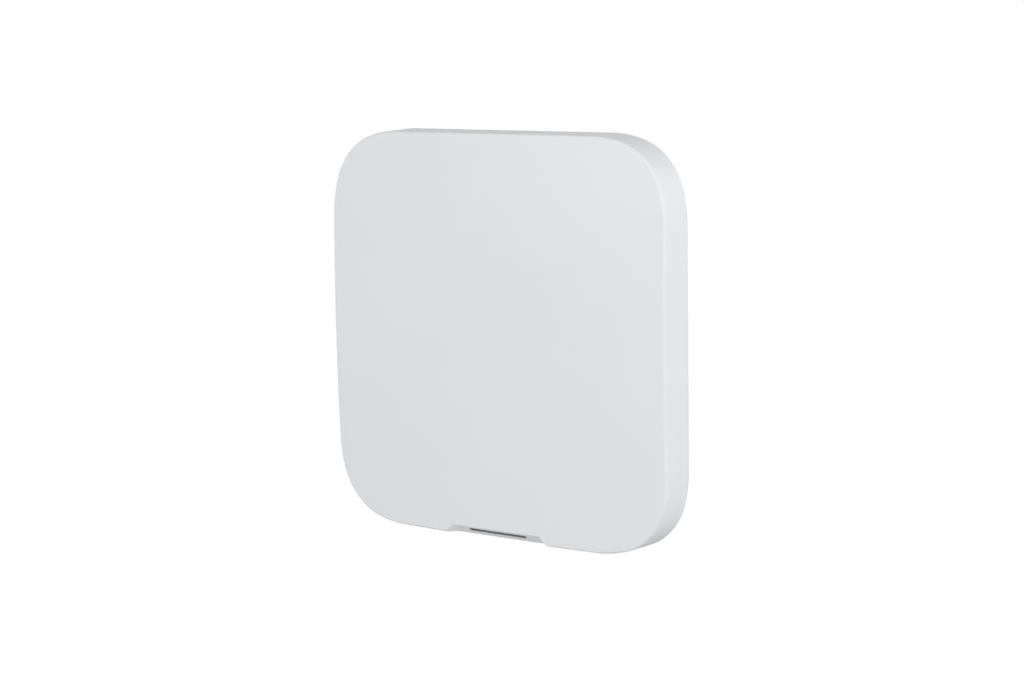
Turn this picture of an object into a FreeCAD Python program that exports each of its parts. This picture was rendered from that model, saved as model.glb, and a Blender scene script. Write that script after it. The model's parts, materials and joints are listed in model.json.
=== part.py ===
import FreeCAD, Part
import math
import os
import re
import Sketcher

# A wall-mounted wireless alarm control panel.
# +Z is up, the front faces -Y, and the origin is the centre of the wall face.
# "Depth" is the distance from the wall towards the room, so depth 5 lies at y = -5.

doc = FreeCAD.newDocument("alarm_control_panel")
sheet = doc.addObject("Spreadsheet::Sheet", "Size")
places = {}
nodes = []

FRONT = "XZ_Plane"
SIDE = "YZ_Plane"
TOP = "XY_Plane"

# Flat sides that stand for a circle on sealed round pieces and on those that repeat
SCREW_SIDES = 6
HEAD_SIDES = 12
BOSS_SIDES = 8
WIRE_SIDES = 4
PIN_SIDES = 12
CELL_SIDES = 24

# Driving dimensions, in millimetres and degrees
sizes = {
    # Overall form and the front cover
    "width": 163.0,  # width and height of the front cover
    "total_depth": 34.0,  # front face to wall
    "rim_depth": 16.4,  # depth of the front cover's side wall
    "side_radius": 46.0,  # easy arc where a side begins to turn
    "corner_radius": 26.5,  # tight arc in the middle of a corner
    "corner_angle": 18.0,  # turn of each easy arc, degrees
    "rim_draft": 1.7,  # draft of the cover's side wall, degrees
    "edge_round": 1.2,  # round on the cover's front edge
    "cover_wall": 2.2,  # cover side wall thickness
    "cover_front": 2.4,  # cover front wall thickness
    "cover_boss_radius": 3.2,  # screw boss radius in the cover
    "cover_boss_inset": 14.2,  # screw boss centres inside the cover's outline
    "screw_gap": 0.15,  # radial room of a screw in the part it passes through
    "screw_radius": 1.4,  # screw shank radius
    "screw_head_radius": 2.7,  # screw head radius
    "screw_head_height": 1.6,  # screw head height
    "screw_bite": 7.0,  # length of a screw in its boss
    "pilot_room": 2.1,  # depth of a screw's hole beyond its tip
    "cover_rib_thick": 1.4,  # thickness of the cover's seat ribs
    "cover_rib_reach": 3.5,  # how far a seat rib stands in from the side wall
    "cover_rib_offset": 38.0,  # distance of a seat rib from the centre line
    "fit_gap": 0.25,  # room between pieces that nest
    "seat_gap": 0.05,  # room between faces that rest on each other

    # Indicator at the bottom edge
    "recess_rise": 4.0,  # height of the indicator recess on the front face
    "recess_run": 4.5,  # depth of the indicator recess along the bottom
    "recess_top_half": 21.5,  # half length of the recess's upper edge
    "recess_end": 4.0,  # length of each sloping end of the recess
    "light_length": 28.0,  # indicator length
    "light_height": 2.1,  # indicator height across its slope
    "light_offset": 1.4,  # indicator's distance below the recess's upper edge
    "light_depth": 1.6,  # thickness of the indicator lens
    "light_sink": 0.1,  # how far the indicator lies under the slope
    "light_house_half": 17.0,  # half length of the wall block round the indicator
    "light_house_reach": 6.5,  # how far that block stands behind the front wall
    "light_house_height": 5.5,  # height of that block above the bottom wall
    "guide_thick": 1.8,  # light guide thickness
    "guide_angle": 30.0,  # lean of the light guide towards the room, degrees
    "guide_margin": 0.6,  # how much shorter the light guide is at each end
    "led_gap": 0.2,  # room between the light guide and the indicator lights

    # Rear housing
    "housing_inset": 13.0,  # how far the rear box lies inside the cover's outline
    "housing_wall": 2.2,  # rear box wall thickness
    "housing_stand": 0.5,  # rear box's gap to the wall
    "skirt_wall": 1.8,  # wall of the skirt round the bracket
    "flange_thick": 2.0,  # thickness of the flange under the cover
    "flange_recess": 0.6,  # how far the flange lies inside the cover's rim
    "housing_bevel": 1.0,  # bevel on the rear box's back edge
    "bay_half": 54.0,  # half width of the connector bay's walls
    "bay_bottom": -62.0,  # outside of the bay's bottom wall
    "bay_top": -30.0,  # bay's ceiling, where the sockets open
    "bay_wall": 1.8,  # bay wall thickness
    "bay_floor": 1.6,  # bay floor thickness
    "bay_floor_gap": 0.4,  # room between the bay floor and the board
    "exit_half": 13.0,  # half width of the cable exit
    "exit_depth": 7.0,  # depth of the cable exit from the wall

    # Wall bracket
    "bracket_thick": 3.0,  # bracket plate thickness
    "bracket_gap": 0.3,  # room between the bracket and the housing
    "bracket_margin": 2.5,  # bracket's gap to the skirt
    "bracket_round": 13.0,  # bracket corner radius
    "window_half": 44.0,  # half width of the cable window
    "window_low": -51.0,  # bottom of the cable window
    "window_high": -32.0,  # top of the cable window
    "window_round": 4.0,  # corner radius of the cable window
    "wall_screw_x": 108.0,  # wall screw spacing across
    "wall_screw_z": 64.0,  # wall screw spacing up
    "wall_screw_low": -42.0,  # height of the lower wall screws
    "wall_hole_radius": 2.25,  # wall screw hole radius
    "wall_sink": 2.0,  # countersink depth of a wall screw hole
    "slide_travel": 8.0,  # how far the panel lifts off its hooks
    "hook_width": 8.0,  # hook width
    "hook_stem": 6.0,  # height of a hook below the top of its stem
    "hook_lip": 5.5,  # how far a hook's lip stands up past its stem
    "hook_lip_thick": 1.8,  # hook lip thickness
    "hook_upper_x": 52.0,  # upper hooks from the centre line
    "hook_upper_z": 45.0,  # top of the upper hook stems
    "hook_lower_x": 56.0,  # lower hooks from the centre line
    "hook_lower_z": 0.0,  # top of the lower hook stems
    "hook_gap": 0.2,  # room between a hook and its slot
    "tab_half": 11.0,  # half width of the break-off tab
    "tab_low": -15.0,  # bottom of the break-off tab
    "tab_high": 24.0,  # top of the break-off tab
    "tab_slit": 1.0,  # width of the slits round the break-off tab
    "tab_bridge": 2.0,  # bridge left between two slits
    "tab_hole_drop": 16.0,  # screw hole in the tab, below the plunger

    # Boards
    "board_thick": 1.6,  # circuit board thickness
    "board_margin": 4.3,  # room between the boards and the rear box's walls
    "board_top": 18.0,  # top edge of the boards beside the battery
    "ear_margin": 8.3,  # room between the main board's antenna ear and the top wall
    "ear_width": 22.5,  # width of the antenna ear
    "board_corner": 12.0,  # cut corner of the main board
    "board_split": 23.5,  # gap line between the main board and the power board
    "board_gap": 1.0,  # gap between the two boards
    "post_radius": 3.0,  # board post radius
    "post_margin": 1.2,  # board left beyond a post
    "post_low_drop": 15.0,  # low board posts below the bay's ceiling
    "post_ear_z": 30.0,  # height of the post under the antenna ear

    # Sockets
    "jack_x": 3.0,  # network jack centre
    "jack_width": 16.0,  # network jack width
    "jack_height": 13.4,  # network jack height above the board
    "jack_length": 21.3,  # network jack length
    "jack_gap": 0.5,  # room between the jack and the back wall
    "jack_wall": 2.05,  # side wall of the jack
    "jack_low_wall": 2.2,  # jack wall next to the board
    "jack_port_height": 8.4,  # jack port height
    "jack_port_depth": 14.0,  # jack port depth
    "jack_latch_width": 6.2,  # width of the jack's latch groove
    "jack_latch_height": 1.6,  # height of the jack's latch groove
    "socket_gap": 0.2,  # room round a socket in the housing
    "inlet_x": 38.0,  # mains inlet centre
    "inlet_width": 20.0,  # mains inlet width
    "inlet_height": 13.0,  # mains inlet height above the board
    "inlet_length": 20.0,  # mains inlet length
    "inlet_port_width": 16.0,  # mains inlet port width
    "inlet_port_height": 8.2,  # mains inlet port height
    "inlet_port_depth": 13.5,  # mains inlet port depth
    "inlet_port_middle": 6.5,  # port centre above the board
    "inlet_pin_radius": 1.2,  # inlet pin radius
    "inlet_pin_spacing": 8.6,  # inlet pin spacing
    "inlet_pin_length": 8.5,  # length of an inlet pin in the port
    "card_left_x": -43.0,  # left card tray centre
    "card_right_x": -23.5,  # right card tray centre
    "card_socket_width": 18.0,  # card socket width
    "card_socket_height": 4.9,  # card socket height above the board
    "card_socket_length": 26.0,  # card socket length
    "tray_width": 15.6,  # card tray width
    "tray_thick": 1.4,  # card tray thickness
    "tray_length": 24.0,  # card tray length inside its socket
    "tray_clear": 0.25,  # room round a card tray
    "tray_skin": 1.2,  # socket wall over the card tray
    "tray_lip": 1.2,  # how far a tray's pull lip stands out of the ceiling
    "card_width": 12.2,  # card seat width
    "card_length": 15.2,  # card seat length

    # Buttons and tamper switch
    "power_x": 17.0,  # power button centre
    "power_width": 6.6,  # power button width
    "power_tall": 3.0,  # power button thickness
    "power_travel": 0.8,  # power button travel
    "reset_x": -9.5,  # reset button centre
    "reset_width": 3.2,  # reset button width
    "reset_travel": 0.5,  # reset button travel
    "button_axis": 3.8,  # button centre above the board
    "button_proud": 1.1,  # how far a button stands out of the ceiling
    "button_gap": 0.2,  # room round a button
    "button_collar": 0.9,  # width of a button's stop collar
    "button_collar_thick": 1.0,  # thickness of a button's stop collar
    "switch_width": 6.2,  # push switch width
    "switch_height": 6.4,  # push switch height above the board
    "switch_length": 3.6,  # push switch length
    "stem_radius": 1.0,  # switch stem radius
    "stem_seat": 0.4,  # how deep a stem sits in its button
    "stem_gap": 0.12,  # room round a stem in its button
    "plunger_x": -30.0,  # tamper plunger centre
    "plunger_z": 8.0,  # tamper plunger height
    "plunger_radius": 2.2,  # tamper plunger shaft radius
    "plunger_gap": 0.08,  # running room of the tamper plunger
    "plunger_travel": 1.6,  # tamper plunger travel
    "plunger_collar_radius": 3.4,  # tamper plunger collar radius
    "plunger_collar_thick": 1.2,  # tamper plunger collar thickness
    "ramp_reach": 1.6,  # ramp length beside the plunger's path at each end
    "tip_radius": 4.0,  # radius of the plunger's domed tip
    "ramp_room": 0.05,  # room between the plunger's tip and the ramp
    "sleeve_wall": 1.2,  # wall of the plunger's guide sleeve
    "tact_side": 6.2,  # tamper switch side
    "tact_height": 4.3,  # tamper switch height
    "tact_stem": 0.8,  # tamper switch stem height
    "plunger_stop_room": 0.4,  # room behind the plunger's collar when it is out
    "spring_room": 2.0,  # room between the plunger's sleeve and the switch
    "spring_wire": 0.45,  # spring wire thickness
    "spring_turns": 3.0,  # turns of the tamper spring
    "spring_radius": 2.75,  # spring mean radius

    # Battery
    "cell_radius": 9.2,  # battery cell radius
    "cell_length": 65.2,  # battery cell length
    "cell_gap": 0.2,  # gap between the two cells
    "cell_low": 24.4,  # underside of the lower cell
    "cell_stand": 1.0,  # cells' gap to the back wall
    "cell_cap_radius": 3.2,  # radius of a cell's raised terminal
    "cell_cap_height": 1.4,  # height of a cell's raised terminal
    "tab_metal": 0.3,  # nickel strip thickness
    "tab_metal_width": 7.0,  # nickel strip width
    "cradle_x": 21.0,  # battery cradle rib from the centre line
    "cradle_thick": 2.2,  # battery cradle rib thickness
    "cradle_open": 2.5,  # how far a cradle rib stops short of the cells' middle
    "cradle_margin": 2.0,  # cradle rib beyond the cells
    "clip_x": 0.0,  # battery clip centre
    "clip_width": 10.0,  # battery clip width
    "clip_thick": 1.6,  # battery clip thickness
    "clip_post": 3.0,  # battery clip post radius
    "clip_margin": 3.4,  # clip post centre beyond the cells

    # Electronics on the boards
    "processor_side": 14.0,  # processor side
    "processor_height": 1.4,  # processor thickness
    "processor_x": -12.0,  # processor centre
    "processor_z": -6.0,  # processor height on the board
    "sink_side": 22.0,  # heat sink side
    "sink_base_thick": 1.5,  # heat sink base thickness
    "fin_count": 6,  # heat sink fins
    "fin_thick": 1.2,  # heat sink fin thickness
    "fin_height": 4.0,  # heat sink fin height
    "memory_x": 7.0,  # memory chips' centre
    "memory_z": -4.0,  # height of the gap between the memory chips
    "memory_width": 9.0,  # memory chip width
    "memory_tall": 12.0,  # memory chip length
    "memory_height": 1.1,  # memory chip thickness
    "chip_gap": 3.0,  # gap between the memory chips
    "radio_x": -44.0,  # radio shield and cellular module centre
    "radio_z": -4.0,  # radio shield height on the board
    "radio_width": 26.0,  # radio shield width
    "radio_tall": 20.0,  # radio shield length
    "radio_height": 2.8,  # radio shield height above the board
    "cellular_z": -34.0,  # cellular module height on the board
    "cellular_width": 24.0,  # cellular module width
    "cellular_tall": 26.0,  # cellular module length
    "cellular_height": 2.4,  # cellular module height above the board
    "wifi_x": 36.0,  # network radio module centre
    "wifi_z": -42.0,  # network radio module height on the board
    "wifi_width": 18.0,  # network radio module width
    "wifi_tall": 20.0,  # network radio module length
    "wifi_base": 0.8,  # network radio module's own board thickness
    "wifi_can": 2.0,  # network radio module's can height
    "wifi_can_margin": 1.5,  # board left round the network radio module's can
    "wifi_aerial": 6.0,  # length of the module's board beyond its can
    "aerial_length": 34.0,  # antenna length
    "aerial_width": 4.0,  # antenna width
    "aerial_height": 7.0,  # antenna height above the board
    "aerial_metal": 0.5,  # antenna metal thickness
    "aerial_feed": 6.0,  # distance between the two feet of an antenna
    "aerial_left_margin": 8.0,  # left antenna's centre line inside the board's edge
    "aerial_left_low": 18.0,  # left antenna's lower end
    "aerial_right_start": 15.0,  # right antenna's inner end
    "aerial_right_margin": 4.5,  # right antenna's centre line above the board's bottom edge
    "patch_width": 60.0,  # cellular antenna patch width
    "patch_tall": 18.0,  # cellular antenna patch length
    "patch_thick": 0.3,  # cellular antenna patch thickness
    "patch_z": 50.0,  # cellular antenna patch height on the cover
    "led_width": 3.0,  # indicator light width
    "led_tall": 1.8,  # indicator light length
    "led_least": 0.8,  # least height of an indicator light above the board
    "led_spacing": 7.0,  # spacing of the indicator lights
    "led_count": 4,  # indicator lights
    "magnetics_z": 0.5,  # network transformer height on the board
    "magnetics_width": 16.0,  # network transformer width
    "magnetics_tall": 12.0,  # network transformer length
    "magnetics_height": 5.6,  # network transformer height above the board
    "clock_x": -18.0,  # clock cell centre
    "clock_z": -44.0,  # clock cell height on the board
    "clock_radius": 6.2,  # clock cell radius
    "clock_thick": 2.0,  # clock cell thickness
    "clock_wall": 1.4,  # clock cell holder wall
    "clock_base": 0.8,  # clock cell holder base
    "plug_x": -30.0,  # battery connector centre
    "plug_z": 13.0,  # battery connector height on the board
    "plug_width": 8.0,  # battery connector width
    "plug_tall": 6.0,  # battery connector length
    "plug_height": 6.0,  # battery connector height above the board
    "link_z": -8.0,  # power link height on the boards
    "link_width": 9.0,  # power link width
    "link_tall": 12.0,  # power link length
    "link_height": 5.0,  # power link height above the boards
    "transformer_x": 37.0,  # mains transformer centre
    "transformer_z": 1.2,  # mains transformer height on the board
    "transformer_width": 20.0,  # mains transformer width
    "transformer_tall": 15.6,  # mains transformer length
    "transformer_height": 12.6,  # mains transformer height above the board
    "bobbin_margin": 2.4,  # how far the winding lies inside the core's ends
    "bobbin_proud": 1.2,  # how far the winding stands out of the core's sides
    "capacitor_x": 54.2,  # large capacitor centre line
    "capacitor_low": -4.5,  # large capacitor's lower end
    "capacitor_length": 13.5,  # large capacitor length
    "capacitor_radius": 4.8,  # large capacitor radius
    "filter_capacitor_x": 49.6,  # small capacitor centre
    "filter_capacitor_z": 13.7,  # small capacitor height on the board
    "filter_capacitor_radius": 3.0,  # small capacitor radius
    "filter_capacitor_height": 8.0,  # small capacitor height above the board
    "choke_x": 53.6,  # line choke centre
    "choke_z": -11.0,  # line choke height on the board
    "choke_width": 9.4,  # line choke width
    "choke_tall": 10.4,  # line choke length
    "choke_height": 11.0,  # line choke height above the board
    "fuse_start": 33.2,  # fuse's inner end
    "fuse_length": 10.5,  # fuse length
    "fuse_radius": 2.3,  # fuse glass radius
    "fuse_cap_radius": 2.6,  # fuse cap radius
    "fuse_cap_length": 2.2,  # fuse cap length
    "fuse_z": 13.7,  # fuse height on the board
    "sheet_thick": 0.4,  # insulation sheet thickness
    "sheet_top": 9.5,  # insulation sheet's upper edge
    "sheet_margin": 1.0,  # insulation sheet beyond the power board's inner edge
    "sheet_right": 50.0,  # insulation sheet's outer edge
    "contact_width": 0.4,  # network jack contact width
    "contact_pitch": 1.02,  # network jack contact spacing
    "contact_length": 9.0,  # network jack contact length
    "contact_count": 8,  # network jack contacts
}
for row, (alias, amount) in enumerate(sizes.items(), 1):
    sheet.set("A%d" % row, alias.replace("_", " "))
    sheet.set("B%d" % row, str(amount))
    sheet.setAlias("B%d" % row, alias)


def formula(words):
    """Turn the size and place names in a formula into references to the sheet."""
    def refer(found):
        word = found.group()
        if word in places:
            return "(" + places[word] + ")"
        return "Size." + word if word in sizes else word
    return re.sub(r"[a-z][a-z0-9_]*", refer, words)


def place(name, words):
    """Name a position that follows from the driving dimensions."""
    places[name] = formula(words)


def value(words):
    return float(sheet.evalExpression(formula(words)))


def bind(thing, what, words):
    thing.setExpression(what, formula(words))


def count(alias):
    return int(round(value(alias)))


def node(label, thing):
    thing.Label = label
    nodes.append(thing)
    return thing


def new_body(label):
    return node(label, doc.addObject("PartDesign::Body", label))


def sketch_on(body, name, plane, offset):
    """A sketch on one of the body's origin planes, moved along that plane's normal."""
    sketch = body.newObject("Sketcher::SketchObject", name)
    support = [face for face in body.Origin.OriginFeatures if face.Role == plane][0]
    sketch.AttachmentSupport = [(support, "")]
    sketch.MapMode = "FlatFace"
    bind(sketch, ".AttachmentOffset.Base.z", offset)
    return sketch


def fix(kind, geometry, point, words):
    """A rule that holds one point at a distance from the sketch's origin."""
    return Sketcher.Constraint(kind, -1, 1, geometry, point, value(words)), words


def plain(*rule):
    """A rule with no dimension, such as a tangent."""
    return Sketcher.Constraint(*rule), ""


def hold(sketch, rules):
    """Add the rules together and bind those that have a formula."""
    first = sketch.ConstraintCount
    sketch.addConstraint([rule for rule, words in rules])
    for index, (rule, words) in enumerate(rules):
        if words:
            bind(sketch, "Constraints[%d]" % (first + index), words)


def polygon(sketch, corners):
    """A closed run of straight edges through corners given as pairs of formulas."""
    first = sketch.GeometryCount
    count = len(corners)
    spots = [FreeCAD.Vector(value(x), value(y), 0) for x, y in corners]
    lines = [Part.LineSegment(spots[turn], spots[(turn + 1) % count]) for turn in range(count)]
    sketch.addGeometry(lines, False)
    rules = []
    for turn, (x, y) in enumerate(corners):
        rules.append(plain("Coincident", first + turn, 2, first + (turn + 1) % count, 1))
        rules.append(fix("DistanceX", first + turn, 1, x))
        rules.append(fix("DistanceY", first + turn, 1, y))
    hold(sketch, rules)


def rectangle(sketch, left, right, low, high):
    polygon(sketch, [(left, low), (right, low), (right, high), (left, high)])


def circle(sketch, x, y, radius):
    centre = FreeCAD.Vector(value(x), value(y), 0)
    ring = sketch.addGeometry(Part.Circle(centre, FreeCAD.Vector(0, 0, 1), value(radius)), False)
    size_rule = (Sketcher.Constraint("Radius", ring, value(radius)), radius)
    hold(sketch, [fix("DistanceX", ring, 3, x), fix("DistanceY", ring, 3, y), size_rule])


def rounded(sketch, left, right, low, high, radius):
    """A rectangle with four equal round corners."""
    first = sketch.GeometryCount
    sides = [value(left), value(right), value(low), value(high)]
    bend = value(radius)
    normal = FreeCAD.Vector(0, 0, 1)
    centres = [
        (sides[1] - bend, sides[2] + bend, -90),
        (sides[1] - bend, sides[3] - bend, 0),
        (sides[0] + bend, sides[3] - bend, 90),
        (sides[0] + bend, sides[2] + bend, 180),
    ]
    arcs = []
    for x, y, start in centres:
        ring = Part.Circle(FreeCAD.Vector(x, y, 0), normal, bend)
        arcs.append(Part.ArcOfCircle(ring, math.radians(start), math.radians(start + 90)))
    lines = [Part.LineSegment(arcs[turn].EndPoint, arcs[(turn + 1) % 4].StartPoint) for turn in range(4)]
    sketch.addGeometry(arcs + lines, False)
    rules = [(Sketcher.Constraint("Radius", first, bend), radius)]
    for turn in range(4):
        line = first + 4 + turn
        rules.append(plain("Tangent", first + turn, 2, line, 1))
        rules.append(plain("Tangent", line, 2, first + (turn + 1) % 4, 1))
        rules.append(plain("Vertical" if turn % 2 == 0 else "Horizontal", line))
        if turn > 0:
            rules.append(plain("Equal", first, first + turn))
    rules.append(fix("DistanceY", first, 1, low))
    rules.append(fix("DistanceX", first, 2, right))
    rules.append(fix("DistanceY", first + 1, 2, high))
    rules.append(fix("DistanceX", first + 2, 2, left))
    hold(sketch, rules)


def faceted(sketch, x, y, radius, sides):
    """A regular polygon in place of a circle, for what repeats: its first corner lies along x."""
    corners = []
    for turn in range(sides):
        angle = 360 / sides * turn
        corners.append((
            "(%s) + (%s) * cos(%s)" % (x, radius, angle),
            "(%s) + (%s) * sin(%s)" % (y, radius, angle),
        ))
    polygon(sketch, corners)


def soft_square(sketch, inset):
    """The panel's outline, drawn in by an inset.

    Each corner is three arcs: an easy one from each straight side and a tighter one between them.
    """
    half = value("half_width - (%s)" % inset)
    easy = value("side_radius - (%s)" % inset)
    tight = value("corner_radius - (%s)" % inset)
    bend = math.radians(value("corner_angle"))
    reach = easy - (easy - tight) * (math.cos(bend) - math.sin(bend))
    near = FreeCAD.Vector(half - easy, half - reach, 0)
    middle = near + FreeCAD.Vector(math.cos(bend), math.sin(bend), 0) * (easy - tight)
    far = FreeCAD.Vector(near.y, near.x, 0)
    normal = FreeCAD.Vector(0, 0, 1)
    quarter = math.pi / 2
    stretches = [
        (near, easy, 0, bend),
        (middle, tight, bend, quarter - bend),
        (far, easy, quarter - bend, quarter),
    ]
    pieces = []
    for turn in range(4):
        spin = FreeCAD.Rotation(normal, 90 * turn)
        for centre, radius, start, end in stretches:
            ring = Part.Circle(spin.multVec(centre), normal, radius)
            pieces.append(Part.ArcOfCircle(ring, start + turn * quarter, end + turn * quarter))
        finish = spin.multVec(FreeCAD.Vector(-far.x, half, 0))
        pieces.append(Part.LineSegment(pieces[-1].EndPoint, finish))
    sketch.addGeometry(pieces, False)
    rules = [plain("Tangent", step, 2, (step + 1) % 16, 1) for step in range(16)]
    for turn in range(4):
        corner = 4 * turn
        rules.append(plain("Vertical" if turn % 2 else "Horizontal", corner + 3))
        for arc in (corner, corner + 2):
            rules.append((Sketcher.Constraint("Angle", arc, bend), "corner_angle * 1 deg"))
            if arc > 0:
                rules.append(plain("Equal", 0, arc))
        if turn > 0:
            rules.append(plain("Equal", 1, corner + 1))
    for arc, radius in ((0, "side_radius"), (1, "corner_radius")):
        words = "%s - (%s)" % (radius, inset)
        rules.append((Sketcher.Constraint("Radius", arc, value(words)), words))
    for turn, (kind, sign) in enumerate((("Y", ""), ("X", "-"), ("Y", "-"), ("X", ""))):
        rules.append(fix("Distance" + kind, 4 * turn + 3, 1, "%s(half_width - (%s))" % (sign, inset)))
    hold(sketch, rules)


def pad(body, name, sketch, length):
    """Add material from the sketch along its plane's normal."""
    feature = body.newObject("PartDesign::Pad", name)
    feature.Profile = sketch
    bind(feature, "Length", length)
    sketch.Visibility = False
    return feature


def pocket(body, name, sketch, length):
    """Take material away from the sketch along its plane's normal."""
    feature = body.newObject("PartDesign::Pocket", name)
    feature.Profile = sketch
    feature.Reversed = True
    bind(feature, "Length", length)
    sketch.Visibility = False
    return feature


def face_at(feature, depth):
    """The name of the feature's largest flat face at a depth from the wall."""
    found = []
    for index, face in enumerate(feature.Shape.Faces):
        box = face.BoundBox
        if abs(box.YMax + depth) < 0.001 and abs(box.YMin + depth) < 0.001:
            found.append((face.Area, "Face%d" % (index + 1)))
    return max(found)[1]


def block(name, x_low, x_high, depth_low, depth_high, z_low, z_high):
    """A box between formulas for its sides, its depths from the wall and its heights."""
    box = doc.addObject("Part::Box", name)
    bind(box, "Length", "(%s) - (%s)" % (x_high, x_low))
    bind(box, "Width", "(%s) - (%s)" % (depth_high, depth_low))
    bind(box, "Height", "(%s) - (%s)" % (z_high, z_low))
    bind(box, "Placement.Base.x", x_low)
    bind(box, "Placement.Base.y", "-(%s)" % depth_high)
    bind(box, "Placement.Base.z", z_low)
    return box


def centred(name, x, wide, depth_low, depth_high, z, tall):
    """A box centred on x and z."""
    sides = ["(%s) - (%s) / 2" % (x, wide), "(%s) + (%s) / 2" % (x, wide)]
    ends = ["(%s) - (%s) / 2" % (z, tall), "(%s) + (%s) / 2" % (z, tall)]
    return block(name, sides[0], sides[1], depth_low, depth_high, ends[0], ends[1])


def bar(name, radius, length, sides):
    """A round bar, or one with flat sides where some are asked for, that stands along Z."""
    solid = doc.addObject("Part::Prism" if sides else "Part::Cylinder", name)
    if sides:
        solid.Polygon = sides
    bind(solid, "Circumradius" if sides else "Radius", radius)
    bind(solid, "Height", length)
    return solid


def stand(solid, axis, x, depth, z):
    """Turn a bar from Z by a quarter about the axis, if there is one, and bind its place."""
    if axis:
        solid.Placement = FreeCAD.Placement(FreeCAD.Vector(), FreeCAD.Rotation(FreeCAD.Vector(*axis), 90))
    bind(solid, "Placement.Base.x", x)
    bind(solid, "Placement.Base.y", "-(%s)" % depth)
    bind(solid, "Placement.Base.z", z)
    return solid


def rod(name, x, depth_low, depth_high, z, radius, sides=0):
    """A bar square to the wall."""
    solid = bar(name, radius, "(%s) - (%s)" % (depth_high, depth_low), sides)
    return stand(solid, (1, 0, 0), x, depth_low, z)


def upright(name, x, depth, z_low, z_high, radius, sides=0):
    """A bar along Z."""
    solid = bar(name, radius, "(%s) - (%s)" % (z_high, z_low), sides)
    return stand(solid, None, x, depth, z_low)


def level(name, x_low, x_high, depth, z, radius, sides=0):
    """A bar along X."""
    solid = bar(name, radius, "(%s) - (%s)" % (x_high, x_low), sides)
    return stand(solid, (0, 1, 0), x_low, depth, z)


def fused(name, pieces):
    joined = doc.addObject("Part::MultiFuse", name)
    joined.Shapes = pieces
    joined.Refine = True
    return joined


def cut_from(name, base, tools):
    tool = tools[0] if len(tools) == 1 else fused(name + "_tool", tools)
    rest = doc.addObject("Part::Cut", name)
    rest.Base = base
    rest.Tool = tool
    return rest


def group(name, pieces):
    """Separate solids kept together in one node."""
    several = doc.addObject("Part::Compound", name)
    several.Links = pieces
    return several


def screws(label, spots, seat, tip):
    """Pan-head screws driven from the back or the front: the head lies on the far side of its seat."""
    made = []
    outward = 1 if value(tip) < value(seat) else -1
    for index, (x, z) in enumerate(spots):
        top = "(%s) + (%d) * screw_head_height" % (seat, outward)
        ends = sorted([seat, top], key=value)
        head = rod("%s_head_%d" % (label, index), x, ends[0], ends[1], z, "screw_head_radius", HEAD_SIDES)
        ends = sorted([seat, tip], key=value)
        shank = rod("%s_shank_%d" % (label, index), x, ends[0], ends[1], z, "screw_radius", SCREW_SIDES)
        made.append(fused("%s_%d" % (label, index), [head, shank]))
    return node(label, group(label, made))


place("half_width", "width / 2")
place("rim_back", "total_depth - rim_depth")
place("cover_inside", "total_depth - cover_front")
place("back_wall_outer", "bracket_thick + bracket_gap")
place("back_wall_inner", "back_wall_outer + housing_wall")
place("flange_back", "rim_back + flange_recess")
place("flange_front", "flange_back + flange_thick")
place("board_back", "back_wall_inner + jack_gap + jack_height")
place("board_front", "board_back + board_thick")
place("floor_front", "board_back - bay_floor_gap")
place("floor_back", "floor_front - bay_floor")
place("ceiling_inner", "bay_top + bay_wall")
place("box_inset", "housing_inset + housing_wall")
place("skirt_inset", "housing_inset + skirt_wall")
place("cover_boss_spread", "half_width - cover_boss_inset")
place("board_half", "half_width - box_inset - board_margin")
place("board_low", "-board_half")
place("board_ear_top", "half_width - box_inset - ear_margin")
place("board_ear_inner", "-board_half + ear_width")
place("aerial_left_x", "-board_half + aerial_left_margin")
place("aerial_right_z", "board_low + aerial_right_margin")
place("skirt_half", "half_width - skirt_inset")
place("pilot_depth", "screw_bite + pilot_room")
place("button_depth", "board_back - button_axis")
place("ramp_slope", "plunger_travel / slide_travel")
place("chip_top", "board_front + processor_height")
place("sink_plate", "chip_top + sink_base_thick")
place("sink_top", "sink_plate + fin_height")


# Front cover
cover = new_body("front_cover")
doc.recompute()
shape = sketch_on(cover, "cover_outline", FRONT, "rim_back")
soft_square(shape, "0")
shell = pad(cover, "cover_block", shape, "rim_depth")
bind(shell, "TaperAngle", "-rim_draft")
doc.recompute()
edge = cover.newObject("PartDesign::Fillet", "cover_edge")
edge.Base = (shell, [face_at(shell, value("total_depth"))])
bind(edge, "Radius", "edge_round")
shape = sketch_on(cover, "cover_hollow_outline", FRONT, "rim_back")
soft_square(shape, "cover_wall")
hollow = pocket(cover, "cover_hollow", shape, "rim_depth - cover_front")
bind(hollow, "TaperAngle", "-rim_draft")

# The block that carries the indicator, behind the recess
shape = sketch_on(cover, "light_house_outline", FRONT, "cover_inside - light_house_reach")
house = [
    ("-light_house_half", "light_house_half"),
    ("-half_width + cover_wall / 2", "-half_width + cover_wall + light_house_height"),
]
rectangle(shape, house[0][0], house[0][1], house[1][0], house[1][1])
pad(cover, "light_house", shape, "light_house_reach + cover_front / 2")

# Bosses for the housing screws, and ribs that the housing's flange seats on
corner_signs = [("", ""), ("-", ""), ("-", "-"), ("", "-")]
cover_spots = [(a + "(cover_boss_spread)", b + "(cover_boss_spread)") for a, b in corner_signs]
shape = sketch_on(cover, "boss_outline", FRONT, "flange_front + seat_gap")
for x, z in cover_spots:
    faceted(shape, x, z, "cover_boss_radius", BOSS_SIDES)
pad(cover, "bosses", shape, "cover_inside - flange_front - seat_gap + cover_front / 2")
shape = sketch_on(cover, "boss_pilot_outline", FRONT, "flange_front + seat_gap")
for x, z in cover_spots:
    faceted(shape, x, z, "screw_radius + seat_gap", SCREW_SIDES)
pocket(cover, "boss_pilots", shape, "pilot_depth")
shape = sketch_on(cover, "rib_outline", FRONT, "flange_front + seat_gap")
place("rib_outer", "half_width - cover_wall / 2")
place("rib_inner", "half_width - cover_wall - cover_rib_reach")
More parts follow.
